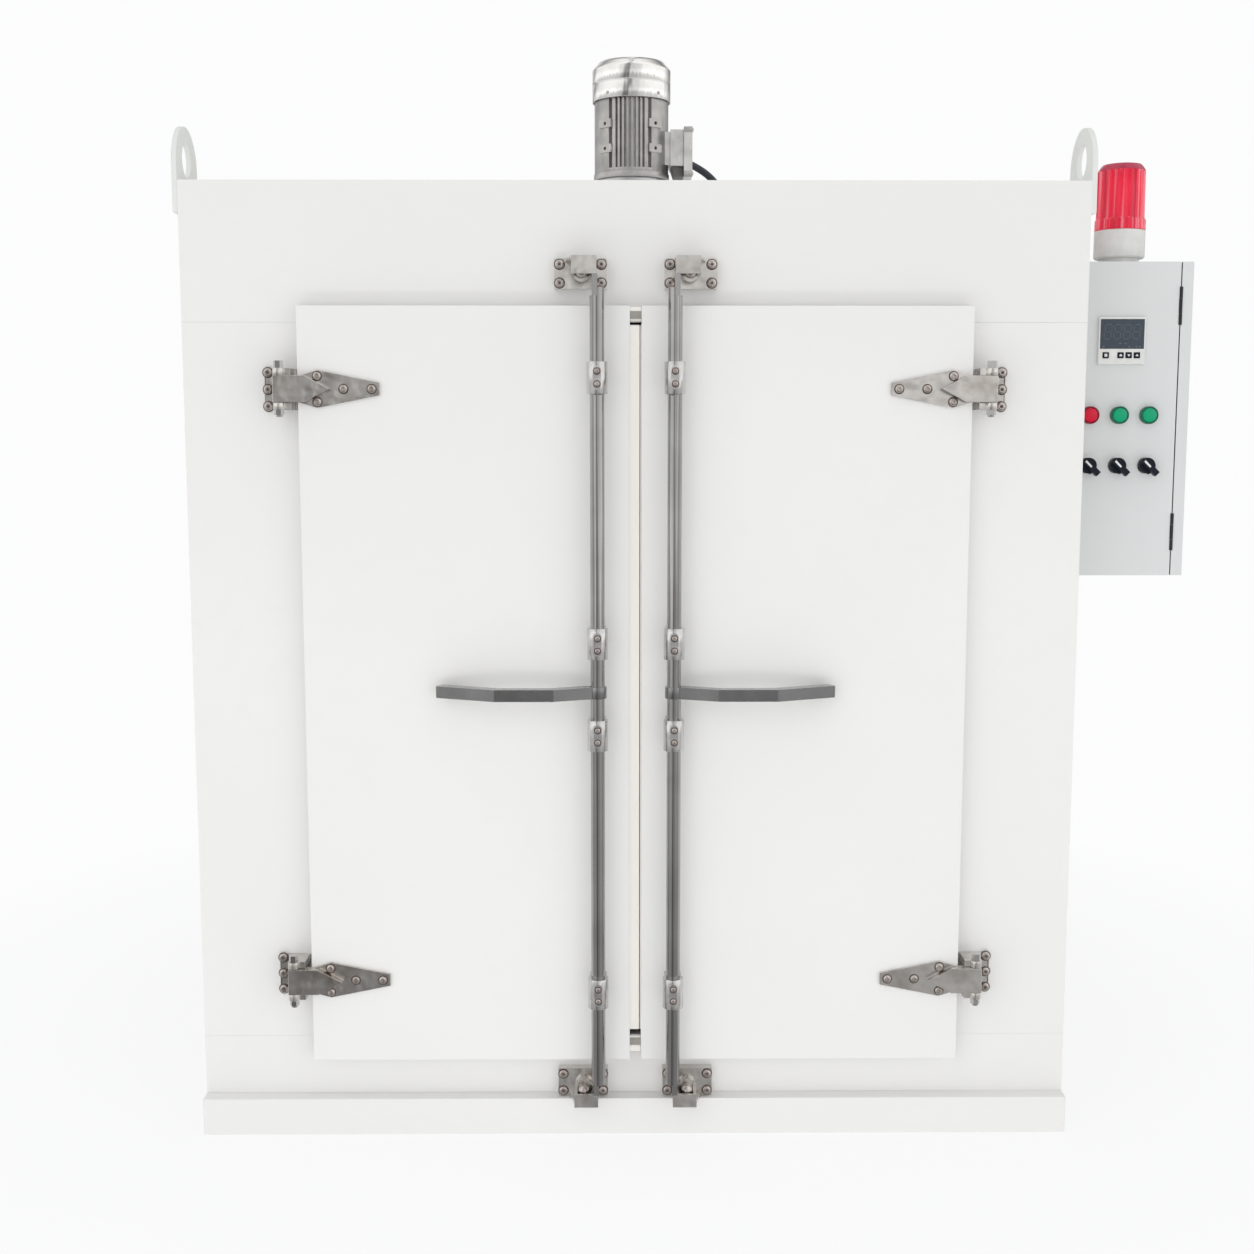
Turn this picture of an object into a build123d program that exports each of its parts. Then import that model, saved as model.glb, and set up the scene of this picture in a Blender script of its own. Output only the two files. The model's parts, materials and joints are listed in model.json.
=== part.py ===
from build123d import *
import os
from math import hypot, pi, radians, tan

# Double-door heat treatment oven with a roof fan, turning lock rods and a side control box.
# Millimetres. The origin is on the floor under the middle of the cabinet. The doors face -Y.

os.makedirs("parts", exist_ok=True)

# Cabinet
body_width = 1400.0
body_depth = 1200.0
body_top = 1515.0
plinth_height = 60.0
plinth_step = 27.0
rail_width = 60.0
rail_wall = 3.0
skin = 2.0
frame_sheet = 3.0
liner_sheet = 1.5
seam = 0.2
soft_gap = 0.3
side_wall = 150.0
rear_wall = 150.0
roof_wall = 125.0

# Doorway and doors
doorway_width = 950.0
doorway_bottom = 157.0
doorway_top = 1301.0
jamb_depth = 75.0
side_overlap = 42.0
top_overlap = 23.0
bottom_overlap = 28.0
door_gap = 18.0
door_thickness = 32.0
door_sheet = 2.0
door_stand_off = 3.0
plug_depth = 60.0
plug_clearance = 10.0
plug_set_back = 16.0
gasket_width = 12.0
gasket_inset = 5.0
astragal_thickness = 5.0
astragal_reach = 15.5
astragal_clearance = 1.0

# Hinges
hinge_pin_radius = 5.0
pin_clearance = 0.05
hinge_pin_out = 27.0
hinge_pin_proud = 8.0
hinge_end_distance = 126.0
hinge_base_height = 63.0
hinge_base_width = 50.0
hinge_base_sheet = 5.0
strap_height = 40.6
strap_thickness = 17.0
leaf_thickness = 5.0
leaf_height = 57.4
leaf_length = 153.0
leaf_end_height = 19.0

# Lock rods, guides, handles and keepers
rod_radius = 11.0
rod_bore_radius = 9.0
rod_solid_end = 40.0
rod_centre = 59.0
rod_proud = 30.0
rod_clearance = 0.05
rod_bottom = 101.0
rod_top = 1348.0
rod_notch = 12.0
guide_radius = 16.0
guide_height = 48.0
guide_heights = (252.0, 666.0, 809.0, 1214.0)
handle_height_above_floor = 733.0
handle_bar_height = 18.5
handle_bar_depth = 20.0
keeper_width = 80.0
keeper_height = 46.0
keeper_plate = 16.0
keeper_reach = 64.0
keeper_gap = 2.0
keeper_centre = 84.5
keeper_boss_radius = 14.0
keeper_boss_reach = 40.0
keeper_bolt_radius = 8.5
keeper_bolt_proud = 17.5
keeper_hood_width = 38.0
keeper_hood_wall = 5.0
keeper_gusset = 6.0
keeper_lips = (-2.0, -4.0)
keeper_screw_pitch = (64.0, 28.0)
finger_gap = 1.3

# Screws
screw_head_radius = 7.0
screw_head_height = 4.4
screw_shank_radius = 4.0
screw_hole_clearance = 0.1
screw_hole_radius = screw_shank_radius + screw_hole_clearance

# Lifting lugs
lug_thickness = 8.0
lug_width = 125.0
lug_above_roof = 89.0
lug_below_roof = 49.0
lug_eye_radius = 26.0
lug_eye_above_roof = 38.0

# Fan motor, upright on the roof, and the fan below it
motor_stand_height = 88.0
motor_plate = 8.0
motor_plate_width = 180.0
motor_seat_radius = 66.0
motor_post_pitch = 80.0
motor_post_radius = 8.0
motor_flange_radius = 71.0
motor_flange_height = 10.5
motor_body_radius = 69.5
motor_body_height = 132.0
motor_bore_radius = 48.0
motor_cover_radius = 73.5
motor_shield_height = 4.0
motor_cover_height = 72.0
motor_shaft_radius = 12.0
motor_rotor_radius = 38.0
stator_height = 88.0
air_gap = 0.6
bearing_radius = 24.0
bearing_height = 10.0
impeller_radius = 170.0
impeller_height = 54.0
impeller_inlet_radius = 118.0
impeller_above_baffle = 17.0
cable_radius = 7.0
terminal_reach = 27.5
terminal_neck = 3.0
terminal_neck_width = 64.0
terminal_width = 80.0
terminal_wall = 3.0
terminal_lid_depth = 16.0
terminal_lid_lap = 7.0
terminal_plug_width = 56.0
terminal_plug_height = 17.0

# Heating and temperature probe
heater_radius = 5.0
heater_bend_radius = 17.5
heater_pitch = 75.0
heater_count = 3
heater_first = 225.0
heater_above_baffle = 45.0
probe_radius = 3.0
probe_below_baffle = 11.0
probe_reach = 80.0

# Control box on the right side wall
box_width = 186.0
box_depth = 400.0
box_bottom = 897.0
box_height = 509.5
box_set_back = 125.0
box_sheet = 1.5
box_door_gap = 2.0
box_door_depth = 18.5
box_hinge_radius = 2.6
box_hinge_pin_radius = 1.5
box_hinge_height = 61.0
box_hinge_heights = (969.0, 1336.0)
column_pitch = 48.2
column_centre = 792.0
lamp_height = 1160.0
selector_height = 1078.0
meter_height = 1280.0
meter_width = 76.0
meter_thickness = 6.0
meter_body_width = 67.0
meter_body_depth = 75.0
window_width = 71.6
window_height = 47.6
key_width = 9.6
key_height = 8.8
key_length = 4.0
key_proud = 1.0
key_gap = 0.3
key_offsets = (-26.0, -1.8, 11.4, 24.8)
bezel_radius = 14.8
lamp_cap_radius = 14.4
lamp_cap_height = 9.0
lamp_dome_radius = 12.6
lamp_dome_height = 4.0
barrel_radius = 11.0
barrel_length = 45.0
knob_radius = 13.0
spindle_radius = 5.0

# Beacon on the control box
beacon_set_back = 75.0
beacon_offset = 3.0
beacon_base_radius = 41.0
beacon_base_height = 46.0
beacon_base_round = 4.0
beacon_foot_radius = 32.0
beacon_foot_height = 11.0
beacon_lens_radius = 39.0
beacon_lens_height = 106.0
beacon_lens_wall = 2.5

# Planes and edges that many pieces share
front = -body_depth / 2
rear = body_depth / 2
half_width = body_width / 2
doorway_half = doorway_width / 2
chamber_half = half_width - side_wall
chamber_front = front + jamb_depth + seam + liner_sheet
chamber_rear = rear - rear_wall
chamber_top = body_top - roof_wall
door_edge = doorway_half + side_overlap
door_bottom = doorway_bottom - bottom_overlap
door_top = doorway_top + top_overlap
door_back = front - door_stand_off
door_face = door_back - door_thickness
pin_x = door_edge + hinge_pin_out
pin_y = door_face - hinge_pin_proud
hinge_heights = (door_bottom + hinge_end_distance + 9.0, door_top - hinge_end_distance)
rod_y = door_face - rod_proud
motor_foot = body_top + motor_stand_height
motor_barrel_bottom = motor_foot + motor_flange_height + seam
motor_barrel_top = motor_barrel_bottom + motor_body_height
baffle_top = doorway_top + liner_sheet
probe_height = doorway_top - probe_below_baffle


# Helpers


def block(x, y, z, mode=Mode.ADD):
    """Add a box that spans x, y and z, each given as low and high."""
    with Locations(((x[0] + x[1]) / 2, (y[0] + y[1]) / 2, (z[0] + z[1]) / 2)):
        Box(x[1] - x[0], y[1] - y[0], z[1] - z[0], mode=mode)


def bar(start, direction, radius, length, mode=Mode.ADD):
    """Add a cylinder that begins at start and runs along direction."""
    with Locations(Plane(origin=start, z_dir=direction)):
        Cylinder(radius, length, align=(Align.CENTER, Align.CENTER, Align.MIN), mode=mode)


def tray(x, y, z, sheet, open_side):
    """Add a box of sheet metal with one side left out."""
    inner = {"x": [x[0] + sheet, x[1] - sheet], "y": [y[0] + sheet, y[1] - sheet]}
    inner["z"] = [z[0] + sheet, z[1] - sheet]
    inner[open_side[1]][0 if open_side[0] == "-" else 1] = {"x": x, "y": y, "z": z}[open_side[1]][
        0 if open_side[0] == "-" else 1
    ]
    block(x, y, z)
    block(inner["x"], inner["y"], inner["z"], mode=Mode.SUBTRACT)


def across(side, near, far):
    """The X span from near to far, on the left for side -1 and on the right for side 1."""
    return tuple(sorted((side * near, side * far)))


def around(middle, size):
    """The span of the given size around a middle."""
    return (middle - size / 2, middle + size / 2)


def facing_front(y):
    """A sketch plane at depth y that faces forward, with its x along X and its y along Z."""
    return Plane.XZ.offset(-y)


def save(piece, name):
    """Label a finished piece and write it to its own file."""
    piece.part.label = name
    export_step(piece.part, f"parts/{name}.step")


# Base frame: tubes welded end to end under a floor pan

with BuildPart() as base_frame:
    for y in ((front - plinth_step, front + rail_width), (rear - rail_width, rear)):
        block((-half_width, half_width), y, (0, plinth_height))
        inner = (y[0] + rail_wall, y[1] - rail_wall)
        capped = half_width - rail_wall
        block((-capped, capped), inner, (rail_wall, plinth_height - rail_wall), Mode.SUBTRACT)
    side_rail_y = (front + rail_width + seam, rear - rail_width - seam)
    for side in (-1, 1):
        block(across(side, half_width - rail_width, half_width), side_rail_y, (0, plinth_height))
        inner = across(side, half_width - rail_width + rail_wall, half_width - rail_wall)
        block(inner, side_rail_y, (rail_wall, plinth_height - rail_wall), Mode.SUBTRACT)
    cross_half = half_width - rail_width - seam
    block((-cross_half, cross_half), around(0, rail_width), (0, plinth_height))
    inner = around(0, rail_width - 2 * rail_wall)
    block((-cross_half, cross_half), inner, (rail_wall, plinth_height - rail_wall), Mode.SUBTRACT)
    pan_half = half_width - skin - seam
    pan_bottom = plinth_height + seam
    block(
        (-pan_half, pan_half),
        (front + frame_sheet + seam, rear - skin - seam),
        (pan_bottom, pan_bottom + skin),
    )
save(base_frame, "base_frame")
pan_top = pan_bottom + skin

# Positions that several pieces share: screws, heater legs, keepers and hinges

leg_places = [
    (side * (heater_first + row * heater_pitch + leg * 2 * heater_bend_radius))
    for side in (-1, 1)
    for row in range(heater_count)
    for leg in (0, 1)
]
heater_height = baffle_top + heater_above_baffle
keeper_middles = (
    plinth_height + soft_gap + keeper_height / 2,
    rod_top + keeper_gap + keeper_height / 2,
)
keeper_boss_x = keeper_centre - 1.5
keeper_hood_in = keeper_centre - keeper_screw_pitch[0] / 2 + screw_head_radius + seam
keeper_screw_places = [
    (side * (keeper_centre + dx), middle + dz)
    for side in (-1, 1)
    for middle in keeper_middles
    for dx in (-keeper_screw_pitch[0] / 2, keeper_screw_pitch[0] / 2)
    for dz in (-keeper_screw_pitch[1] / 2, keeper_screw_pitch[1] / 2)
]
hinge_screw_out = 24.0
hinge_screw_places = [
    (side * (pin_x + hinge_screw_out), height + dz)
    for side in (-1, 1)
    for height in hinge_heights
    for dz in (-hinge_base_height / 2 + 5.5, 0, hinge_base_height / 2 - 5.5)
]
rear_screw_inset = 18.0
rear_screw_heights = (100, 450, 800, 1150, 1480)
rear_screw_columns = (-460, -230, 0, 230, 460)
rear_screw_x = half_width - rear_screw_inset
rear_screw_rows = (plinth_height + rear_screw_inset, body_top - rear_screw_inset)
rear_screw_places = [(side * rear_screw_x, z) for side in (-1, 1) for z in rear_screw_heights]
rear_screw_places += [(x, z) for x in rear_screw_columns for z in rear_screw_rows]

# Outer skins

probe_y = front + box_set_back + 320.0
wiring_y = front + box_set_back + 200.0
wiring_radius = 12.0
with BuildPart() as side_panels:
    for side in (-1, 1):
        block(
            across(side, half_width - skin, half_width),
            (front + frame_sheet + seam, rear),
            (plinth_height + seam, body_top - skin - seam),
        )
    probe_hole = probe_radius + pin_clearance
    for y, z, radius in ((probe_y, probe_height, probe_hole), (wiring_y, heater_height, wiring_radius)):
        bar((half_width - 2 * skin, y, z), (1, 0, 0), radius, 4 * skin, Mode.SUBTRACT)
save(side_panels, "side_panels")

with BuildPart() as rear_panel:
    pan = half_width - skin - seam
    block((-pan, pan), (rear - skin, rear), (plinth_height + seam, body_top - skin - seam))
    for x in leg_places:
        bar((x, rear + skin, heater_height), (0, -1, 0), heater_radius + soft_gap, 4 * skin, Mode.SUBTRACT)
    for x, z in rear_screw_places:
        bar((x, rear + skin, z), (0, -1, 0), screw_hole_radius, 4 * skin, Mode.SUBTRACT)
save(rear_panel, "rear_panel")

roof_gland_place = (190.0, 142.0)
gland_thread_radius = 9.0
shaft_hole_radius = motor_shaft_radius + 6.0
with BuildPart() as roof_panel:
    block((-half_width, half_width), (front + frame_sheet + seam, rear), (body_top - skin, body_top))
    bar((0, 0, body_top - 2 * skin), (0, 0, 1), shaft_hole_radius, 4 * skin, Mode.SUBTRACT)
    bar(
        (*roof_gland_place, body_top - 2 * skin),
        (0, 0, 1),
        gland_thread_radius + screw_hole_clearance,
        4 * skin,
        Mode.SUBTRACT,
    )
save(roof_panel, "roof_panel")

with BuildPart() as front_frame:
    face = (front, front + frame_sheet)
    jamb = (front, front + jamb_depth)
    block((-half_width, half_width), face, (doorway_top, body_top))
    jamb_span = (-doorway_half - frame_sheet, doorway_half + frame_sheet)
    block(jamb_span, jamb, (doorway_top, doorway_top + frame_sheet))
    block((-half_width, half_width), face, (plinth_height + seam, doorway_bottom))
    block(jamb_span, jamb, (doorway_bottom - frame_sheet, doorway_bottom))
    upright = (doorway_bottom + seam, doorway_top - seam)
    for side in (-1, 1):
        block(across(side, doorway_half, half_width), face, upright)
        block(across(side, doorway_half, doorway_half + frame_sheet), jamb, upright)
    for x, z in keeper_screw_places + hinge_screw_places:
        bar((x, front - skin, z), (0, 1, 0), screw_hole_radius, frame_sheet + 2 * skin, Mode.SUBTRACT)
save(front_frame, "front_frame")

# Insulation: slabs that fill the walls, each a little clear of the sheets

slab_front = front + frame_sheet + soft_gap
slab_rear = rear - skin - soft_gap
slab_half = half_width - skin - soft_gap
slab_low = doorway_bottom - frame_sheet - soft_gap
slab_high = chamber_top + liner_sheet + soft_gap
wall_near = chamber_half + liner_sheet + soft_gap
with BuildPart() as insulation:
    block((-slab_half, slab_half), (slab_front, slab_rear), (pan_top + soft_gap, slab_low))
    roof_slab = (slab_high, body_top - skin - soft_gap)
    block((-slab_half, slab_half), (slab_front, slab_rear), roof_slab)
    upright = (slab_low + soft_gap, slab_high - soft_gap)
    for side in (-1, 1):
        block(across(side, wall_near, slab_half), (slab_front, slab_rear), upright)
        jamb_slab = across(side, doorway_half + frame_sheet + soft_gap, wall_near - soft_gap)
        block(jamb_slab, (slab_front, chamber_front - liner_sheet - soft_gap), upright)
    back_slab = (chamber_rear + liner_sheet + soft_gap, slab_rear)
    block((-wall_near + soft_gap, wall_near - soft_gap), back_slab, upright)
    lintel_half = doorway_half + frame_sheet
    block(
        (-lintel_half, lintel_half),
        (slab_front, chamber_front - liner_sheet - soft_gap),
        (doorway_top + frame_sheet + soft_gap, slab_high - soft_gap),
    )
    bar((0, 0, slab_high - 1), (0, 0, 1), shaft_hole_radius, roof_wall + 2, Mode.SUBTRACT)
    gland_pocket = 30.0
    bar(
        (*roof_gland_place, roof_slab[1] + 1),
        (0, 0, -1),
        gland_thread_radius + soft_gap + 1,
        gland_pocket,
        Mode.SUBTRACT,
    )
    for x in leg_places:
        bar((x, rear, heater_height), (0, -1, 0), heater_radius + soft_gap, rear_wall, Mode.SUBTRACT)
    bar((half_width, probe_y, probe_height), (-1, 0, 0), probe_radius + soft_gap, side_wall, Mode.SUBTRACT)
    bar((half_width, wiring_y, heater_height), (-1, 0, 0), wiring_radius, 40, Mode.SUBTRACT)
    for x, z in keeper_screw_places + hinge_screw_places:
        bar((x, front, z), (0, 1, 0), screw_shank_radius + 1, 14, Mode.SUBTRACT)
    for x, z in rear_screw_places:
        bar((x, rear, z), (0, -1, 0), screw_shank_radius + 1, 14, Mode.SUBTRACT)
save(insulation, "insulation")

# Chamber liner: thin sheets, each a hair clear of the next at its welded seam

liner_half = chamber_half + liner_sheet
liner_y = (chamber_front - liner_sheet, chamber_rear + liner_sheet)
liner_wall_z = (doorway_bottom + seam, chamber_top - seam)
duct_inner = doorway_half
duct_outer = doorway_half + liner_sheet
with BuildPart() as chamber_liner:
    block((-liner_half, liner_half), liner_y, (doorway_bottom - liner_sheet, doorway_bottom))
    block((-liner_half, liner_half), liner_y, (chamber_top, chamber_top + liner_sheet))
    for side in (-1, 1):
        block(across(side, chamber_half, liner_half), liner_y, liner_wall_z)
        closing = across(side, doorway_half + frame_sheet + seam, chamber_half - seam)
        block(closing, (chamber_front - liner_sheet, chamber_front), liner_wall_z)
    back_half = chamber_half - seam
    block((-back_half, back_half), (chamber_rear, chamber_rear + liner_sheet), liner_wall_z)
    block(
        (-lintel_half, lintel_half),
        (chamber_front - liner_sheet, chamber_front),
        (doorway_top + frame_sheet + seam, liner_wall_z[1]),
    )
    bar((0, 0, chamber_top - 2), (0, 0, 1), motor_shaft_radius + 3, 6, Mode.SUBTRACT)
    for x in leg_places:
        bar((x, chamber_rear - 2, heater_height), (0, 1, 0), heater_radius + soft_gap, 6, Mode.SUBTRACT)
    bar((chamber_half - 2, probe_y, probe_height), (1, 0, 0), probe_radius + pin_clearance, 6, Mode.SUBTRACT)
save(chamber_liner, "chamber_liner")

# Duct panels: slotted sheets that stand in front of the side walls

slot_columns = 7
slot_rows = 12
slot_length = 70.0
slot_height = 9.0
duct_y = (chamber_front + seam, chamber_rear - seam)
duct_z = (doorway_bottom + seam, baffle_top)
with BuildPart() as duct_panels:
    for side in (-1, 1):
        block(across(side, duct_inner, duct_outer), duct_y, duct_z)
    slot_pitch_y = (duct_y[1] - duct_y[0]) / slot_columns
    slot_pitch_z = (duct_z[1] - duct_z[0]) / slot_rows
    slot_middle = ((duct_y[0] + duct_y[1]) / 2, (duct_z[0] + duct_z[1]) / 2)
    with Locations((0, slot_middle[0], slot_middle[1])):
        with GridLocations(1, slot_pitch_y, 1, slot_columns):
            with Locations([(0, 0, (row - (slot_rows - 1) / 2) * slot_pitch_z) for row in range(slot_rows)]):
                Box(body_width, slot_length, slot_height, mode=Mode.SUBTRACT)
    bar((duct_inner - 2, probe_y, probe_height), (1, 0, 0), probe_radius + pin_clearance, 6, Mode.SUBTRACT)
save(duct_panels, "duct_panels")

with BuildPart() as fan_baffle:
    baffle_half = duct_inner - seam
    block((-baffle_half, baffle_half), duct_y, (doorway_top, baffle_top))
    bar((0, 0, doorway_top), (0, 0, 1), impeller_inlet_radius + liner_sheet, 12)
    bar((0, 0, doorway_top - 1), (0, 0, 1), impeller_inlet_radius, 14, Mode.SUBTRACT)
save(fan_baffle, "fan_baffle")

# Heating elements: hairpins that run from the rear wall to a rack near the front

hairpin_bend_y = chamber_front + 90.0
hairpin_end_y = rear + 25.0
rack_y = hairpin_bend_y + 60.0
with BuildPart() as heating_elements:
    for side in (-1, 1):
        for row in range(heater_count):
            near = side * (heater_first + row * heater_pitch)
            far = near + side * 2 * heater_bend_radius
            with BuildLine() as hairpin:
                first = Line((near, hairpin_end_y, heater_height), (near, hairpin_bend_y, heater_height))
                bend = TangentArc(first @ 1, (far, hairpin_bend_y, heater_height), tangent=first % 1)
                Line(bend @ 1, (far, hairpin_end_y, heater_height))
            with BuildSketch(Plane(origin=first @ 0, z_dir=(0, -1, 0))):
                Circle(heater_radius)
            sweep(path=hairpin.line)
    for side in (-1, 1):
        last = heater_first + (heater_count - 1) * heater_pitch + 2 * heater_bend_radius
        with BuildPart(mode=Mode.PRIVATE) as rack:
            block(
                across(side, heater_first - 14, last + 14),
                (rack_y, rack_y + liner_sheet),
                (heater_height - 12, chamber_top - seam),
            )
            for x in leg_places:
                bar((x, rack_y - 1, heater_height), (0, 1, 0), heater_radius + soft_gap, 4, Mode.SUBTRACT)
        add(rack.part)
save(heating_elements, "heating_elements")

terminal_cover_half = heater_first + heater_count * heater_pitch + 10
terminal_cover_height = 90.0
terminal_cover_depth = 45.0
with BuildPart() as heater_terminal_cover:
    tray(
        (-terminal_cover_half, terminal_cover_half),
        (rear, rear + terminal_cover_depth),
        around(heater_height, terminal_cover_height),
        box_sheet,
        "-y",
    )
save(heater_terminal_cover, "heater_terminal_cover")

with BuildPart() as temperature_probe:
    probe_tip = duct_inner - probe_reach
    probe_end = half_width + 20.0
    bar((probe_tip, probe_y, probe_height), (1, 0, 0), probe_radius, probe_end - probe_tip)
    with BuildSketch(Plane(origin=(probe_end - 2, probe_y, probe_height), z_dir=(1, 0, 0))):
        RegularPolygon(7.0, 6)
    extrude(amount=22)
save(temperature_probe, "temperature_probe")

# Gasket around the doorway, on the front frame

gasket_y = (front - door_stand_off + soft_gap, front)
gasket_low = doorway_bottom - gasket_inset
gasket_high = doorway_top + gasket_inset
gasket_side = doorway_half + gasket_inset
with BuildPart() as door_gasket:
    wide = (-gasket_side - gasket_width, gasket_side + gasket_width)
    block(wide, gasket_y, (gasket_low - gasket_width, gasket_low))
    block(wide, gasket_y, (gasket_high, gasket_high + gasket_width))
    for side in (-1, 1):
        upright = (gasket_low + seam, gasket_high - seam)
        block(across(side, gasket_side, gasket_side + gasket_width), gasket_y, upright)
save(door_gasket, "door_gasket")

# Lifting lugs: eye plates on the side walls, flush with the front and the rear

with BuildPart() as lifting_lugs:
    lug_radius = lug_width / 2
    lug_z = (body_top - lug_below_roof, body_top + lug_above_roof - lug_radius)
    for side in (-1, 1):
        for y in (front + lug_radius, rear - lug_radius):
            plate = across(side, half_width, half_width + lug_thickness)
            block(plate, around(y, lug_width), lug_z)
            bar((plate[0], y, lug_z[1]), (1, 0, 0), lug_radius, lug_thickness)
            eye = (plate[0] - 1, y, body_top + lug_eye_above_roof)
            bar(eye, (1, 0, 0), lug_eye_radius, lug_thickness + 2, Mode.SUBTRACT)
save(lifting_lugs, "lifting_lugs")

# Fan motor

with BuildPart() as motor_stand:
    plate_span = around(0, motor_plate_width)
    block(plate_span, plate_span, (body_top, body_top + motor_plate))
    bar((0, 0, motor_foot - motor_plate), (0, 0, 1), motor_seat_radius, motor_plate)
    with GridLocations(motor_post_pitch, motor_post_pitch, 2, 2):
        with Locations((0, 0, body_top + motor_plate)):
            Cylinder(
                motor_post_radius,
                motor_stand_height - 2 * motor_plate,
                align=(Align.CENTER, Align.CENTER, Align.MIN),
            )
    bar((0, 0, body_top - 1), (0, 0, 1), shaft_hole_radius, motor_stand_height + 2, Mode.SUBTRACT)
save(motor_stand, "motor_stand")

motor_turn = -3.0
fin_pitch = 7.0
fin_count = 7
fin_groove_width = 4.6
relief_groove_width = 7.5
groove_depth = 8.5
motor_lug_size = (13.0, 29.0, 15.0)
fin_turns = [(step - (fin_count - 1) / 2) * fin_pitch for step in range(fin_count)]
fin_angles = [face + motor_turn + turn for face in (90, 270) for turn in fin_turns]
relief_angles = [face + motor_turn + turn for face in (90, 270) for turn in (-31.5, 31.5)]
lug_angles = [270 + motor_turn + turn for turn in (-41.0, 41.0)]
motor_lug_heights = (motor_barrel_bottom + 41.5, motor_barrel_bottom + 86.5)
motor_groove_low = motor_barrel_bottom + 6.0
motor_middle = motor_barrel_bottom + motor_body_height / 2
with BuildPart() as motor_housing:
    bar((0, 0, motor_foot), (0, 0, 1), motor_flange_radius, motor_flange_height)
    bearing_bore = bearing_radius + pin_clearance
    bar((0, 0, motor_foot - 1), (0, 0, 1), bearing_bore, motor_flange_height + 2, Mode.SUBTRACT)
    bar((0, 0, motor_barrel_bottom), (0, 0, 1), motor_body_radius, motor_body_height)
    for angles, groove_width in ((fin_angles, fin_groove_width), (relief_angles, relief_groove_width)):
        for angle in angles:
            with Locations(Location((0, 0, motor_groove_low), (0, 0, 1), angle)):
                with Locations((motor_body_radius, 0, motor_body_height / 2)):
                    Box(2 * groove_depth, groove_width, motor_body_height, mode=Mode.SUBTRACT)
    for angle in lug_angles:
        for height in motor_lug_heights:
            with Locations(Location((0, 0, height), (0, 0, 1), angle)):
                with Locations((motor_body_radius - 4.0, 0, 0)):
                    Box(*motor_lug_size)
                with Locations(Location((motor_body_radius, 0, 0), (0, 1, 0), 90)):
                    Cylinder(3.2, 14, mode=Mode.SUBTRACT)
    bar((0, 0, motor_barrel_bottom - 1), (0, 0, 1), motor_bore_radius, motor_body_height + 2, Mode.SUBTRACT)
    shield_low = motor_barrel_top + seam
    bar((0, 0, shield_low), (0, 0, 1), motor_body_radius - 2, motor_shield_height)
    cover_inner = motor_cover_radius - skin
    lip_low = shield_low + motor_shield_height
    bar((0, 0, lip_low), (0, 0, 1), cover_inner - seam, motor_flange_height - motor_shield_height)
    bar((0, 0, shield_low - 0.1), (0, 0, 1), bearing_bore, 20, Mode.SUBTRACT)
    stator_low = motor_middle - stator_height / 2
    bar((0, 0, stator_low), (0, 0, 1), motor_bore_radius - seam, stator_height)
    bar((0, 0, stator_low - 1), (0, 0, 1), motor_rotor_radius + air_gap, stator_height + 2, Mode.SUBTRACT)
save(motor_housing, "motor_housing")

with BuildPart() as motor_bearings:
    for low in (motor_foot + 0.3, shield_low + 0.3):
        bar((0, 0, low), (0, 0, 1), bearing_radius, bearing_height)
        bar((0, 0, low - 1), (0, 0, 1), motor_shaft_radius + pin_clearance, bearing_height + 2, Mode.SUBTRACT)
save(motor_bearings, "motor_bearings")

cover_bottom = motor_barrel_top
cover_top = cover_bottom + motor_cover_height
cover_chamfer = 14.5
cover_crown_radius = motor_cover_radius - 12.0
cover_groove_height = cover_bottom + 31.0
with BuildPart() as fan_cover:
    with BuildSketch(Plane.XZ):
        outline = [
            (0, cover_bottom),
            (motor_cover_radius, cover_bottom),
            (motor_cover_radius, cover_top - cover_chamfer),
            (cover_crown_radius, cover_top),
            (0, cover_top),
        ]
        Polygon(*outline, align=None)
        hollow = [
            (0, cover_bottom),
            (cover_inner, cover_bottom),
            (cover_inner, cover_top - cover_chamfer),
            (cover_crown_radius - skin, cover_top - skin),
            (0, cover_top - skin),
        ]
        Polygon(*hollow, align=None, mode=Mode.SUBTRACT)
        with Locations((motor_cover_radius, cover_groove_height)):
            Rectangle(2.0, 2.0, mode=Mode.SUBTRACT)
    revolve(axis=Axis.Z)
    for ring_radius, holes in ((26.0, 8), (42.0, 14)):
        with Locations((0, 0, cover_top)):
            with PolarLocations(ring_radius, holes):
                Cylinder(5.0, 3 * skin, mode=Mode.SUBTRACT)
save(fan_cover, "fan_cover")

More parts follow.
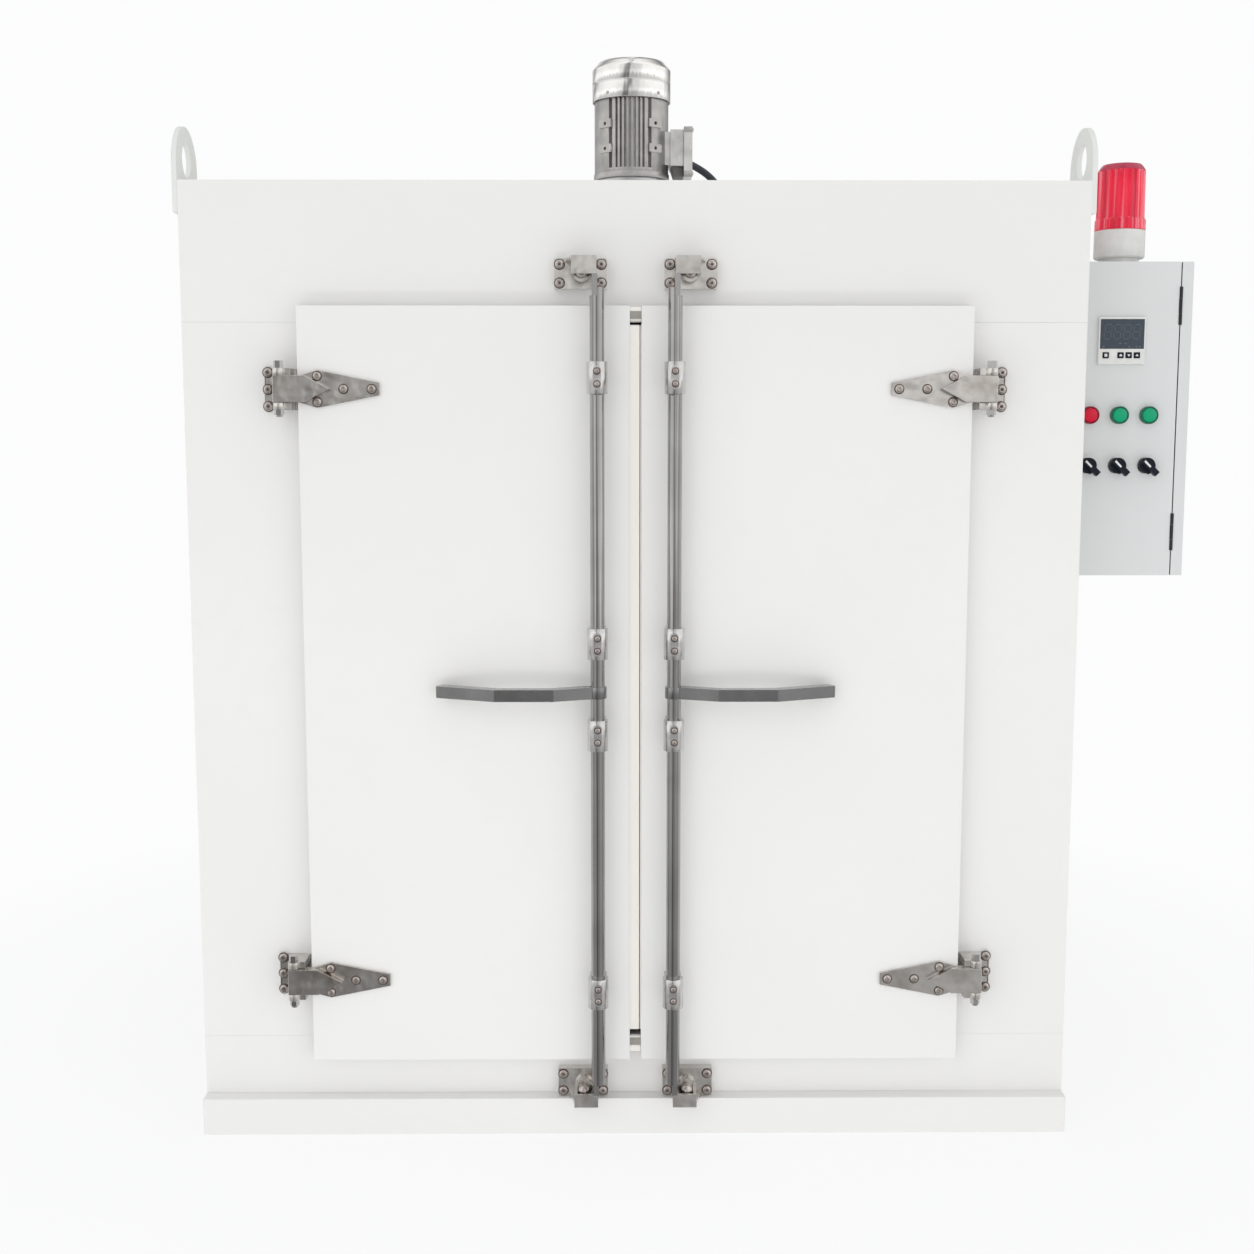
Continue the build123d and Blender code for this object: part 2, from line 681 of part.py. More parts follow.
terminal_x = motor_body_radius + terminal_reach
terminal_z = (motor_foot + 23.0, motor_foot + 89.0)
terminal_lid_z = (motor_foot + 4.0, motor_foot + 92.0)
neck_z = (terminal_z[0] + terminal_neck, terminal_z[1] - terminal_neck)
neck_end = motor_body_radius + terminal_neck
cavity_start = neck_end + skin
gland_side_gap = 0.5
motor_gland_x = cavity_start + gland_side_gap + gland_thread_radius
motor_gland_seat = (motor_gland_x, terminal_width / 2, motor_foot + 59.0)
with BuildPart() as terminal_box:
    wall = terminal_wall
    block((motor_body_radius - 10, neck_end), around(0, terminal_neck_width), neck_z)
    block((neck_end, terminal_x), around(0, terminal_width), terminal_z)
    block(
        (cavity_start, terminal_x + 1),
        around(0, terminal_width - 2 * wall),
        (terminal_z[0] + wall, terminal_z[1] - wall),
        Mode.SUBTRACT,
    )
    bar((0, 0, motor_foot), (0, 0, 1), motor_body_radius + seam, motor_body_height, Mode.SUBTRACT)
    gland_hole = gland_thread_radius + screw_hole_clearance
    bar(motor_gland_seat, (0, -1, 0), gland_hole, 2 * wall, Mode.SUBTRACT)
    lid_x = (terminal_x + seam, terminal_x + terminal_lid_depth)
    lid_width = terminal_width + 2 * terminal_lid_lap
    block(lid_x, around(0, lid_width), terminal_lid_z)
    block(
        (lid_x[0], lid_x[1] - wall),
        around(0, lid_width - 2 * wall),
        (terminal_lid_z[0] + wall, terminal_lid_z[1] - wall),
        Mode.SUBTRACT,
    )
    with BuildSketch(facing_front(-terminal_plug_width / 2)):
        plug_top = terminal_z[0] - seam
        plug = [
            (terminal_x - seam, plug_top),
            (motor_flange_radius + 3, plug_top),
            (motor_flange_radius + 9, plug_top - terminal_plug_height),
            (terminal_x - seam, plug_top - terminal_plug_height),
        ]
        Polygon(*plug, align=None)
    extrude(amount=-terminal_plug_width)
save(terminal_box, "terminal_box")

# Cable glands and the motor cable, which hangs between the terminal box and the roof

gland_reaches = (22.0, 30.0, 26.0)
cable_grip = 6.0
mains_gland_seat = (half_width + 110.0, front + box_set_back + 300.0, box_bottom)
cable_points = [
    (motor_gland_seat[0], 56.0, motor_gland_seat[2]),
    (motor_gland_seat[0], 108.0, motor_gland_seat[2]),
    (122.0, 146.0, motor_foot + 55.0),
    (162.0, 146.0, motor_foot + 29.0),
    (*roof_gland_place, motor_foot - 15.0),
    (*roof_gland_place, body_top + gland_reaches[1] - cable_grip),
]


def gland(seat, direction, reach, wall):
    """Add a cable gland that reaches out from its seat and holds a cable along direction."""
    nut = 9.0
    plane = Plane(origin=seat, z_dir=direction)
    with BuildSketch(plane) as nut_outline:
        RegularPolygon(13.0, 6)
    extrude(nut_outline.sketch, amount=nut)
    bar(plane.from_local_coords((0, 0, nut)), direction, 10.5, reach - nut)
    bar(plane.from_local_coords((0, 0, -wall - 8)), direction, gland_thread_radius, wall + 8)
    inner_end = plane.from_local_coords((0, 0, -wall - 9))
    bar(inner_end, direction, cable_radius + pin_clearance, reach + wall + 10, Mode.SUBTRACT)


with BuildPart() as cable_glands:
    gland(motor_gland_seat, (0, 1, 0), gland_reaches[0], terminal_wall)
    gland((*roof_gland_place, body_top), (0, 0, 1), gland_reaches[1], skin)
    gland(mains_gland_seat, (0, 0, -1), gland_reaches[2], box_sheet)
save(cable_glands, "cable_glands")


def corner_radii(points):
    """The largest tangent arc for each corner, 0.45 of its shorter run over tan of half the turn."""
    radii = []
    for before, corner, after in zip(points, points[1:], points[2:]):
        first = Vector(*corner) - Vector(*before)
        second = Vector(*after) - Vector(*corner)
        turn = radians(first.get_angle(second))
        radii.append(0.45 * min(first.length, second.length) / tan(turn / 2))
    return radii


cable_radii = corner_radii(cable_points)
print("cable bend radii", [round(radius, 1) for radius in cable_radii])
with BuildPart() as motor_cable:
    with BuildLine() as route:
        FilletPolyline(*cable_points, radius=cable_radii)
    with BuildSketch(Plane(origin=route.line @ 0, z_dir=route.line % 0)):
        Circle(cable_radius)
    sweep(path=route.line)
save(motor_cable, "motor_cable")
cable_length = sum(edge.length for edge in route.line.edges())
print("cable length", round(cable_length, 1), "volume", round(motor_cable.part.volume))
print("section times length", round(cable_length * pi * cable_radius**2))

# Fan rotor: shaft, rotor core and cooling fan in the motor, impeller under the chamber roof

impeller_bottom = baffle_top + impeller_above_baffle
impeller_top = impeller_bottom + impeller_height
shaft_bottom = impeller_bottom + 6.0
with BuildPart() as motor_rotor:
    shaft_top = cover_bottom + 46.0
    bar((0, 0, shaft_bottom), (0, 0, 1), motor_shaft_radius, shaft_top - shaft_bottom)
    core = around(motor_middle, 80.0)
    bar((0, 0, core[0]), (0, 0, 1), motor_rotor_radius, core[1] - core[0])
    fan_low = cover_bottom + 16.0
    with BuildPart(mode=Mode.PRIVATE) as cooling_fan:
        bar((0, 0, fan_low), (0, 0, 1), motor_shaft_radius + 8, 26)
        for angle in range(0, 360, 60):
            with Locations(Location((0, 0, fan_low + 13), (0, 0, 1), angle)):
                with Locations((39, 0, 0)):
                    Box(44, 3, 26)
        bar((0, 0, fan_low - 1), (0, 0, 1), motor_shaft_radius + pin_clearance, 28, Mode.SUBTRACT)
    add(cooling_fan.part)
save(motor_rotor, "motor_rotor")

blade_count = 10
with BuildPart() as impeller:
    bar((0, 0, impeller_top - 3), (0, 0, 1), impeller_radius, 3)
    bar((0, 0, impeller_bottom + 6), (0, 0, 1), motor_shaft_radius + 12, impeller_height - 6)
    bar((0, 0, impeller_bottom), (0, 0, 1), impeller_radius, 2)
    bar((0, 0, impeller_bottom - 1), (0, 0, 1), impeller_inlet_radius + 6, 4, Mode.SUBTRACT)
    for blade in range(blade_count):
        turn = blade * 360 / blade_count
        with Locations(Location((0, 0, (impeller_bottom + impeller_top) / 2), (0, 0, 1), turn)):
            with Locations(Location((impeller_radius - 36, 0, 0), (0, 0, 1), 35)):
                Box(58, 2.5, impeller_height)
    shaft_bore = motor_shaft_radius + pin_clearance
    bar((0, 0, impeller_bottom - 1), (0, 0, 1), shaft_bore, impeller_height + 2, Mode.SUBTRACT)
save(impeller, "impeller")

# Screws: a domed head with a hexagon socket, on a short shank

with BuildPart() as screw:
    Cylinder(screw_head_radius, screw_head_height, align=(Align.CENTER, Align.CENTER, Align.MIN))
    fillet(screw.edges().group_by(Axis.Z)[-1], 3.2)
    with BuildSketch(Plane.XY.offset(screw_head_height)):
        RegularPolygon(2.9, 6)
    extrude(amount=-2.4, mode=Mode.SUBTRACT)


def put_screw(seat, direction, shank):
    """Add a screw whose head sits on seat, faces direction and holds on through its shank."""
    with Locations(Plane(origin=seat, z_dir=direction)):
        add(screw.part)
    back = tuple(-part for part in direction)
    bar(seat, back, screw_shank_radius, shank)


with BuildPart() as frame_screws:
    for x, z in keeper_screw_places:
        put_screw((x, front - keeper_plate, z), (0, -1, 0), keeper_plate + frame_sheet + 4)
    for x, z in hinge_screw_places:
        put_screw((x, front - hinge_base_sheet, z), (0, -1, 0), hinge_base_sheet + frame_sheet + 4)
    for x, z in rear_screw_places:
        put_screw((x, rear, z), (0, 1, 0), skin + 6)
    for side in (-1, 1):
        for middle in keeper_middles:
            bolt_foot = (side * keeper_boss_x, front - keeper_plate, middle)
            bolt_length = keeper_boss_reach - keeper_plate + keeper_bolt_proud - keeper_bolt_radius
            bar(bolt_foot, (0, -1, 0), keeper_bolt_radius, bolt_length)
            with Locations((bolt_foot[0], bolt_foot[1] - bolt_length, middle)):
                Sphere(keeper_bolt_radius)
save(frame_screws, "frame_screws")

# Hinges

with BuildPart() as hinge_bases:
    ear_height = (hinge_base_height - strap_height) / 2 - 0.3
    for side in (-1, 1):
        for height in hinge_heights:
            plate = across(side, pin_x - 20, pin_x - 20 + hinge_base_width)
            block(plate, (front - hinge_base_sheet, front), around(height, hinge_base_height))
            for end in (-1, 1):
                ear_middle = height + end * (hinge_base_height - ear_height) / 2
                ear = around(ear_middle, ear_height)
                block(across(side, pin_x - 18, pin_x + 9), (pin_y, front - hinge_base_sheet), ear)
                bar((side * pin_x, pin_y, ear[0]), (0, 0, 1), 9, ear_height)
            bar(
                (side * pin_x, pin_y, height - hinge_base_height),
                (0, 0, 1),
                hinge_pin_radius + pin_clearance,
                2 * hinge_base_height,
                Mode.SUBTRACT,
            )
    for x, z in hinge_screw_places:
        hole_mouth = (x, front - hinge_base_sheet - 1, z)
        bar(hole_mouth, (0, 1, 0), screw_hole_radius, hinge_base_sheet + 2, Mode.SUBTRACT)
save(hinge_bases, "hinge_bases")

with BuildPart() as hinge_pins:
    for side in (-1, 1):
        for height in hinge_heights:
            low = height - hinge_base_height / 2
            high = height + hinge_base_height / 2
            bar((side * pin_x, pin_y, low - 11), (0, 0, 1), hinge_pin_radius, high - low + 11)
            for z, thick in ((high, 11.0), (low - 8, 8.0)):
                with BuildSketch(Plane((side * pin_x, pin_y, z))):
                    RegularPolygon(7.5, 6)
                extrude(amount=thick)
save(hinge_pins, "hinge_pins")

# Keepers: a plate with a hollow hood over the strike bolt, a round boss for the bolt and a gusset

with BuildPart() as rod_keepers:
    for side in (-1, 1):
        for middle, lip, outward in zip(keeper_middles, keeper_lips, (-1, 1)):
            plate_z = around(middle, keeper_height)
            block(around(side * keeper_centre, keeper_width), (front - keeper_plate, front), plate_z)
            hood_x = (keeper_hood_in, keeper_hood_in + keeper_hood_width)
            hood_z = tuple(sorted((middle + lip, middle + outward * keeper_height / 2)))
            block(across(side, *hood_x), (front - keeper_reach, front - keeper_plate), hood_z)
            pocket_end = middle + outward * (keeper_height / 2 - keeper_hood_wall)
            block(
                across(side, hood_x[0] + keeper_hood_wall, hood_x[1] - keeper_hood_wall),
                (front - keeper_reach + keeper_hood_wall, front - keeper_plate),
                tuple(sorted((middle + lip - outward, pocket_end))),
                Mode.SUBTRACT,
            )
            boss_x = side * keeper_boss_x
            boss_length = keeper_boss_reach - keeper_plate
            bar((boss_x, front - keeper_plate, middle), (0, -1, 0), keeper_boss_radius, boss_length)
            gusset_low = plate_z[0] if outward < 0 else plate_z[1] - keeper_gusset
            with BuildSketch(Plane.XY.offset(gusset_low)):
                gusset = [
                    (side * hood_x[1], front - keeper_plate),
                    (side * hood_x[1], front - keeper_reach + 12),
                    (side * (hood_x[1] + 10), front - keeper_plate),
                ]
                Polygon(*gusset, align=None)
            extrude(amount=keeper_gusset)
            hole_length = keeper_reach - keeper_hood_wall - keeper_plate + seam
            hole_mouth = (boss_x, front - keeper_reach + keeper_hood_wall, middle)
            bar(hole_mouth, (0, 1, 0), keeper_bolt_radius + seam, hole_length, Mode.SUBTRACT)
    for x, z in keeper_screw_places:
        bar((x, front - keeper_plate - 1, z), (0, 1, 0), screw_hole_radius, keeper_plate + 2, Mode.SUBTRACT)
save(rod_keepers, "rod_keepers")

# Doors

plug_outer = doorway_half - plug_clearance
plug_inner = door_gap / 2 + plug_set_back
plug_z = (doorway_bottom + plug_clearance, doorway_top - plug_clearance)
door_z = (door_bottom, door_top)


def make_door(side, hand):
    """Make the pieces of one door, on the left for side -1 and on the right for side 1."""
    wide = (door_gap / 2, door_edge)
    with BuildPart() as door_skin:
        x = across(side, *wide)
        tray(x, (door_face, door_back - liner_sheet), door_z, door_sheet, "+y")
        strip_tip = astragal_reach - door_gap / 2
        strip_end = -strip_tip if side < 0 else strip_tip + astragal_clearance
        strip = across(side, plug_inner - seam, strip_end)
        block(strip, (door_back, door_back + astragal_thickness), (plug_z[0], plug_z[1] + 6))
    save(door_skin, f"{hand}_door_skin")

    with BuildPart() as door_liner:
        block(across(side, *wide), (door_back - liner_sheet, door_back), door_z)
        plug_y = (door_back + seam, front + plug_depth)
        tray(across(side, plug_inner, plug_outer), plug_y, plug_z, liner_sheet, "-y")
    save(door_liner, f"{hand}_door_liner")

    with BuildPart() as door_insulation:
        in_skin = door_sheet + soft_gap
        block(
            across(side, wide[0] + in_skin, wide[1] - in_skin),
            (door_face + in_skin, door_back - liner_sheet - soft_gap),
            (door_z[0] + in_skin, door_z[1] - in_skin),
        )
        in_plug = liner_sheet + soft_gap
        block(
            across(side, plug_inner + in_plug, plug_outer - in_plug),
            (door_back + soft_gap, front + plug_depth - in_plug),
            (plug_z[0] + in_plug, plug_z[1] - in_plug),
        )
    save(door_insulation, f"{hand}_door_insulation")

    with BuildPart() as hinge_straps:
        for height in hinge_heights:
            with BuildSketch(facing_front(door_face)):
                leaf = [
                    (side * (pin_x - 30), height - strap_height / 2),
                    (side * (pin_x - 58), height - leaf_height / 2),
                    (side * (pin_x - leaf_length), height - leaf_end_height / 2),
                    (side * (pin_x - leaf_length), height + leaf_end_height / 2),
                    (side * (pin_x - 58), height + leaf_height / 2),
                    (side * (pin_x - 30), height + strap_height / 2),
                ]
                Polygon(*leaf, align=None)
            extrude(amount=leaf_thickness)
            with BuildSketch(facing_front(door_face)):
                strap = [
                    (side * (pin_x + 8), height - strap_height / 2),
                    (side * (pin_x - 40), height - strap_height / 2),
                    (side * (pin_x - 78), height),
                    (side * (pin_x - 40), height + strap_height / 2),
                    (side * (pin_x + 8), height + strap_height / 2),
                ]
                Polygon(*strap, align=None)
            extrude(amount=strap_thickness)
            bar(
                (side * pin_x, pin_y, height - leaf_height),
                (0, 0, 1),
                hinge_pin_radius + pin_clearance,
                2 * leaf_height,
                Mode.SUBTRACT,
            )
    save(hinge_straps, f"{hand}_hinge_straps")

    with BuildPart() as rod_guides:
        for height in guide_heights:
            axis_x = side * rod_centre
            block(around(axis_x, 26), (rod_y, door_face), around(height, guide_height))
            bar((axis_x, rod_y, height - guide_height / 2), (0, 0, 1), guide_radius, guide_height)
            with BuildSketch(facing_front(rod_y - guide_radius + 4)):
                with Locations((axis_x, height)):
                    SlotOverall(36, 12, rotation=90)
            extrude(amount=5)
            bar(
                (axis_x, rod_y, height - guide_height),
                (0, 0, 1),
                rod_radius + rod_clearance,
                2 * guide_height,
                Mode.SUBTRACT,
            )
    save(rod_guides, f"{hand}_rod_guides")


def ribbon(points, width):
    """The outline of a band of one width along points, mitred where it bends."""
    near, far = [], []
    for index, (x, y) in enumerate(points):
        before = points[max(index - 1, 0)]
        after = points[min(index + 1, len(points) - 1)]
        normals = []
        for start, end in ((before, (x, y)), ((x, y), after)):
            length = hypot(end[0] - start[0], end[1] - start[1])
            if length > 0:
                normals.append(((start[1] - end[1]) / length, (end[0] - start[0]) / length))
        across_x = sum(normal[0] for normal in normals) / len(normals)
        across_y = sum(normal[1] for normal in normals) / len(normals)
        scale = width / 2 / (across_x**2 + across_y**2)
        near.append((x + across_x * scale, y + across_y * scale))
        far.append((x - across_x * scale, y - across_y * scale))
    return near + far[::-1]


def make_lock_rod(side, hand):
    """Make one lock rod with its handle, on the left for side -1 and on the right for side 1."""
    axis_x = side * rod_centre
    finger_x = across(side, rod_centre - 0.8, rod_centre + 7.5)
    upper_finger_top = keeper_middles[1] + keeper_lips[1] - finger_gap
    lower_finger_end = keeper_middles[0] + keeper_lips[0] + finger_gap
    with BuildPart() as lock_rod:
        bar((axis_x, rod_y, rod_bottom), (0, 0, 1), rod_radius, rod_top - rod_bottom)
        bore = (rod_bottom + rod_solid_end, rod_top - rod_solid_end)
        bar((axis_x, rod_y, bore[0]), (0, 0, 1), rod_bore_radius, bore[1] - bore[0], Mode.SUBTRACT)
        notch = across(side, rod_centre, rod_centre + rod_radius + 1)
        block(notch, around(rod_y, 2 * rod_radius + 2), (rod_top - rod_notch, rod_top + 1), Mode.SUBTRACT)
        block(finger_x, (rod_y - rod_radius + 1, rod_y - 2), (rod_top - rod_notch, upper_finger_top))
        block(finger_x, around(rod_y, 9), (lower_finger_end, rod_bottom))
    save(lock_rod, f"{hand}_lock_rod")

    path = [(9.0, 1.0), (69.0, 25.0), (156.0, 25.0), (247.0, -14.0)]
    points = [(side * (rod_centre + out), rod_y - ahead) for out, ahead in path]
    with BuildPart() as handle:
        low = handle_height_above_floor - handle_bar_height / 2
        with BuildSketch(Plane.XY.offset(low)):
            Polygon(*ribbon(points, handle_bar_depth), align=None)
        extrude(amount=handle_bar_height)
        bar((axis_x, rod_y, low), (0, 0, 1), rod_radius + 3, handle_bar_height)
        rod_fit = rod_radius + rod_clearance
        bar((axis_x, rod_y, low - 1), (0, 0, 1), rod_fit, handle_bar_height + 2, Mode.SUBTRACT)
    save(handle, f"{hand}_handle")


for side, hand in ((-1, "left"), (1, "right")):
    make_door(side, hand)
    make_lock_rod(side, hand)

# Control box: folded sheets with a door that faces +X

box_x = (half_width + soft_gap, half_width + box_width)
box_y = (front + box_set_back, front + box_set_back + box_depth)
box_z = (box_bottom, box_bottom + box_height)
box_hinge_x = box_x[1] + box_door_gap / 2
columns = [column_centre + step * column_pitch for step in (-1, 0, 1)]
panel_places = [(x, z) for x in columns for z in (lamp_height, selector_height)]


def box_knuckles(parts):
    """Add hinge knuckles over the given shares of each hinge's height, with a bore for the pin."""
    for middle in box_hinge_heights:
        for low, high in parts:
            z = middle + low * box_hinge_height
            height = (high - low) * box_hinge_height
            bar((box_hinge_x, box_y[0], z), (0, 0, 1), box_hinge_radius, height)


def box_hinge_bore():
    """Cut the bores for the hinge pins."""
    for middle in box_hinge_heights:
        low = middle - box_hinge_height / 2 - 1
        radius = box_hinge_pin_radius + pin_clearance
        bar((box_hinge_x, box_y[0], low), (0, 0, 1), radius, box_hinge_height + 2, Mode.SUBTRACT)


def box_hinge_relief(parts):
    """Cut room for the other leaf's knuckles out of a sheet edge."""
    for middle in box_hinge_heights:
        for low, high in parts:
            z = middle + low * box_hinge_height - 0.3
            length = (high - low) * box_hinge_height + 0.6
            bar((box_hinge_x, box_y[0], z), (0, 0, 1), box_hinge_radius + 0.4, length, Mode.SUBTRACT)


outer_parts = ((-0.5, -0.2), (0.2, 0.5))
middle_parts = ((-0.19, 0.19),)
with BuildPart() as control_box:
    with BuildPart(mode=Mode.PRIVATE) as front_wall:
        block(box_x, (box_y[0], box_y[0] + box_sheet), box_z)
        meter_hole = meter_body_width + 1
        meter_y = (box_y[0] - 1, box_y[0] + box_sheet + 1)
        block(around(column_centre, meter_hole), meter_y, around(meter_height, meter_hole), Mode.SUBTRACT)
        for x, z in panel_places:
            bar((x, box_y[0] - 1, z), (0, 1, 0), barrel_radius + seam, 4, Mode.SUBTRACT)
        for middle in box_hinge_heights:
            block(
                (box_x[1] - 0.1, box_hinge_x),
                (box_y[0], box_y[0] + box_sheet),
                around(middle, box_hinge_height),
            )
        box_hinge_relief(middle_parts)
        box_knuckles(outer_parts)
        box_hinge_bore()
    add(front_wall.part)
    inner_y = (box_y[0] + box_sheet + seam, box_y[1])
    block(box_x, (box_y[1] - box_sheet, box_y[1]), box_z)
    cap_y = (inner_y[0], box_y[1] - box_sheet - seam)
    block(box_x, cap_y, (box_z[0], box_z[0] + box_sheet))
    block(box_x, cap_y, (box_z[1] - box_sheet, box_z[1]))
    back_x = (box_x[0], box_x[0] + box_sheet)
    back_z = (box_z[0] + box_sheet + seam, box_z[1] - box_sheet - seam)
    block(back_x, cap_y, back_z)
    bar((half_width - 5, probe_y, probe_height), (1, 0, 0), probe_radius + pin_clearance, 10, Mode.SUBTRACT)
    bar((half_width - 5, wiring_y, heater_height), (1, 0, 0), wiring_radius, 10, Mode.SUBTRACT)
    bar(
        (mains_gland_seat[0], mains_gland_seat[1], box_z[0] - 1),
        (0, 0, 1),
        gland_thread_radius + screw_hole_clearance,
        4,
        Mode.SUBTRACT,
    )
    for middle in box_hinge_heights:
        low = middle - box_hinge_height / 2
        bar((box_hinge_x, box_y[0], low), (0, 0, 1), box_hinge_pin_radius, box_hinge_height)
save(control_box, "control_box")

plate_x = (back_x[1] + 10.0, back_x[1] + 12.5)
device_x = plate_x[1] + 8.0
with BuildPart() as switchgear:
    plate_y = (box_y[0] + 105, box_y[1] - 25)
    plate_z = (box_z[0] + 40, box_z[1] - 135)
    block(plate_x, plate_y, plate_z)
    for y in (plate_y[0] + 12, plate_y[1] - 12):
        for z in (plate_z[0] + 12, plate_z[1] - 12):
            bar((back_x[1], y, z), (1, 0, 0), 4, plate_x[0] - back_x[1])
    for height, pitch, count, size in (
        (1200.0, 52.0, 3, (70.0, 45.0, 80.0)),
        (1060.0, 36.0, 5, (62.0, 34.0, 78.0)),
        (955.0, 14.0, 10, (38.0, 12.0, 46.0)),
    ):
        rail = around((plate_y[0] + plate_y[1]) / 2, plate_y[1] - plate_y[0] - 20)
        block((plate_x[1], plate_x[1] + 7.5), rail, around(height, 35))
        row = pitch * (count - 1) / 2
        for index in range(count):
            middle = (plate_y[0] + plate_y[1]) / 2 - row + index * pitch
            block((device_x, device_x + size[0]), around(middle, size[1]), around(height, size[2]))
            knob_face = (device_x + size[0], device_x + size[0] + 5)
            block(knob_face, around(middle, size[1] * 0.5), around(height, size[2] * 0.35))
save(switchgear, "switchgear")

door_x = (box_x[1] + box_door_gap, box_x[1] + box_door_gap + box_door_depth)
latch_y = box_y[1] - 30.0
latch_z = (box_z[0] + box_z[1]) / 2
latch_radius = 8.0
with BuildPart() as control_box_door:
    tray(door_x, box_y, box_z, box_sheet, "-x")
    for middle in box_hinge_heights:
        for low, high in middle_parts:
            tab_z = (middle + low * box_hinge_height, middle + high * box_hinge_height)
            block((box_hinge_x, door_x[0] + 1), (box_y[0], box_y[0] + box_sheet), tab_z)
    box_hinge_relief(outer_parts)
    box_knuckles(middle_parts)
    box_hinge_bore()
    bar((door_x[1] - 5, latch_y, latch_z), (1, 0, 0), latch_radius + pin_clearance, 10, Mode.SUBTRACT)
save(control_box_door, "control_box_door")

with BuildPart() as box_latch:
    bar((door_x[0] + 3, latch_y, latch_z), (1, 0, 0), latch_radius, door_x[1] - door_x[0] - 2)
    bar((door_x[1] + seam, latch_y, latch_z), (1, 0, 0), 12.5, 5)
    block((door_x[1] + 5, door_x[1] + 9), around(latch_y, 5), around(latch_z, 21))
    cam_z = (latch_z - 26.0, latch_z + latch_radius)
    block((door_x[0] + 3, door_x[0] + 6), around(latch_y, 14), cam_z)
save(box_latch, "box_latch")

# Control panel on the front of the control box

panel_y = box_y[0]
window_recess = 1.2
window_middle = meter_height + 10.7
key_middle = meter_height - 23.5
with BuildPart() as temperature_controller:
    bezel_y = (panel_y - meter_thickness, panel_y)
    block(around(column_centre, meter_width), bezel_y, around(meter_height, meter_width))
    window_y = (panel_y - meter_thickness, panel_y - meter_thickness + window_recess)
    block(around(column_centre, window_width), window_y, around(window_middle, window_height), Mode.SUBTRACT)
    for offset_x in key_offsets:
        key_hole = (panel_y - meter_thickness, panel_y - 0.8)
        block(
            around(column_centre + offset_x, key_width + 2 * key_gap),
            key_hole,
            around(key_middle, key_height + 2 * key_gap),
            Mode.SUBTRACT,
        )
    body_y = (panel_y, panel_y + meter_body_depth)
    block(around(column_centre, meter_body_width), body_y, around(meter_height, meter_body_width))
save(temperature_controller, "temperature_controller")

with BuildPart() as display_window:
    glass_y = (panel_y - meter_thickness + 0.2, panel_y - meter_thickness + window_recess)
    block(around(column_centre, window_width - 0.3), glass_y, around(window_middle, window_height - 0.3))
save(display_window, "display_window")

for index, offset_x in enumerate(key_offsets):
    with BuildPart() as key:
        key_front = panel_y - meter_thickness - key_proud
        key_y = (key_front, key_front + key_length)
        block(around(column_centre + offset_x, key_width), key_y, around(key_middle, key_height))
        fillet(key.edges().filter_by(Axis.Y), 0.8)
    save(key, f"controller_key_{index + 1}")

lamp_bezel_height = 2.5
with BuildPart() as panel_bezels:
    for x in columns:
        bar((x, panel_y, lamp_height), (0, -1, 0), bezel_radius, lamp_bezel_height)
        bar((x, panel_y, lamp_height), (0, 1, 0), barrel_radius, barrel_length)
        bar((x, panel_y, selector_height), (0, -1, 0), bezel_radius, 3.0)
        bar((x, panel_y, selector_height), (0, 1, 0), barrel_radius, barrel_length)
        bar((x, panel_y - 4, selector_height), (0, 1, 0), spindle_radius + pin_clearance, 24, Mode.SUBTRACT)
save(panel_bezels, "panel_bezels")


def lamp_lens(x):
    """Add a domed lens cap that sits on its bezel."""
    cap_y = panel_y - lamp_bezel_height
    bar((x, cap_y, lamp_height), (0, -1, 0), lamp_cap_radius, lamp_cap_height)
    with BuildSketch(Plane(origin=(x, cap_y - lamp_cap_height, lamp_height), z_dir=(0, -1, 0))) as dome_foot:
        Circle(lamp_dome_radius)
    extrude(dome_foot.sketch, amount=lamp_dome_height, taper=18)


with BuildPart() as red_lamp_lens:
    lamp_lens(columns[0])
save(red_lamp_lens, "red_lamp_lens")

with BuildPart() as green_lamp_lenses:
    for x in columns[1:]:
        lamp_lens(x)
save(green_lamp_lenses, "green_lamp_lenses")

for x, place in zip(columns, ("left", "middle", "right")):
    with BuildPart() as knob:
        bar((x, panel_y - 3.2, selector_height), (0, -1, 0), knob_radius, 7)
        bar((x, panel_y - 3.5, selector_height), (0, 1, 0), spindle_radius, 22)
        with Locations(Location((x, panel_y - 14, selector_height), (0, 1, 0), 45)):
            with Locations((4.0, 0, 0)):
                Box(31, 11, 9.5)
    save(knob, f"selector_knob_{place}")

# Warning beacon on top of the control box

beacon_x = (box_x[0] + door_x[1]) / 2 + beacon_offset
beacon_y = box_y[0] + beacon_set_back
foot_top = box_z[1] + beacon_foot_height
base_top = foot_top + beacon_base_height
post_top = base_top + 52.0
with BuildPart() as beacon_base:
    bar((beacon_x, beacon_y, foot_top), (0, 0, 1), beacon_base_radius, beacon_base_height)
    fillet(beacon_base.edges().group_by(Axis.Z)[0], beacon_base_round)
    fillet(beacon_base.edges().group_by(Axis.Z)[-1], beacon_base_round / 2)
    bar((beacon_x, beacon_y, box_z[1]), (0, 0, 1), beacon_foot_radius, beacon_foot_height)
    bar((beacon_x, beacon_y, base_top), (0, 0, 1), 7, post_top - base_top)
save(beacon_base, "beacon_base")

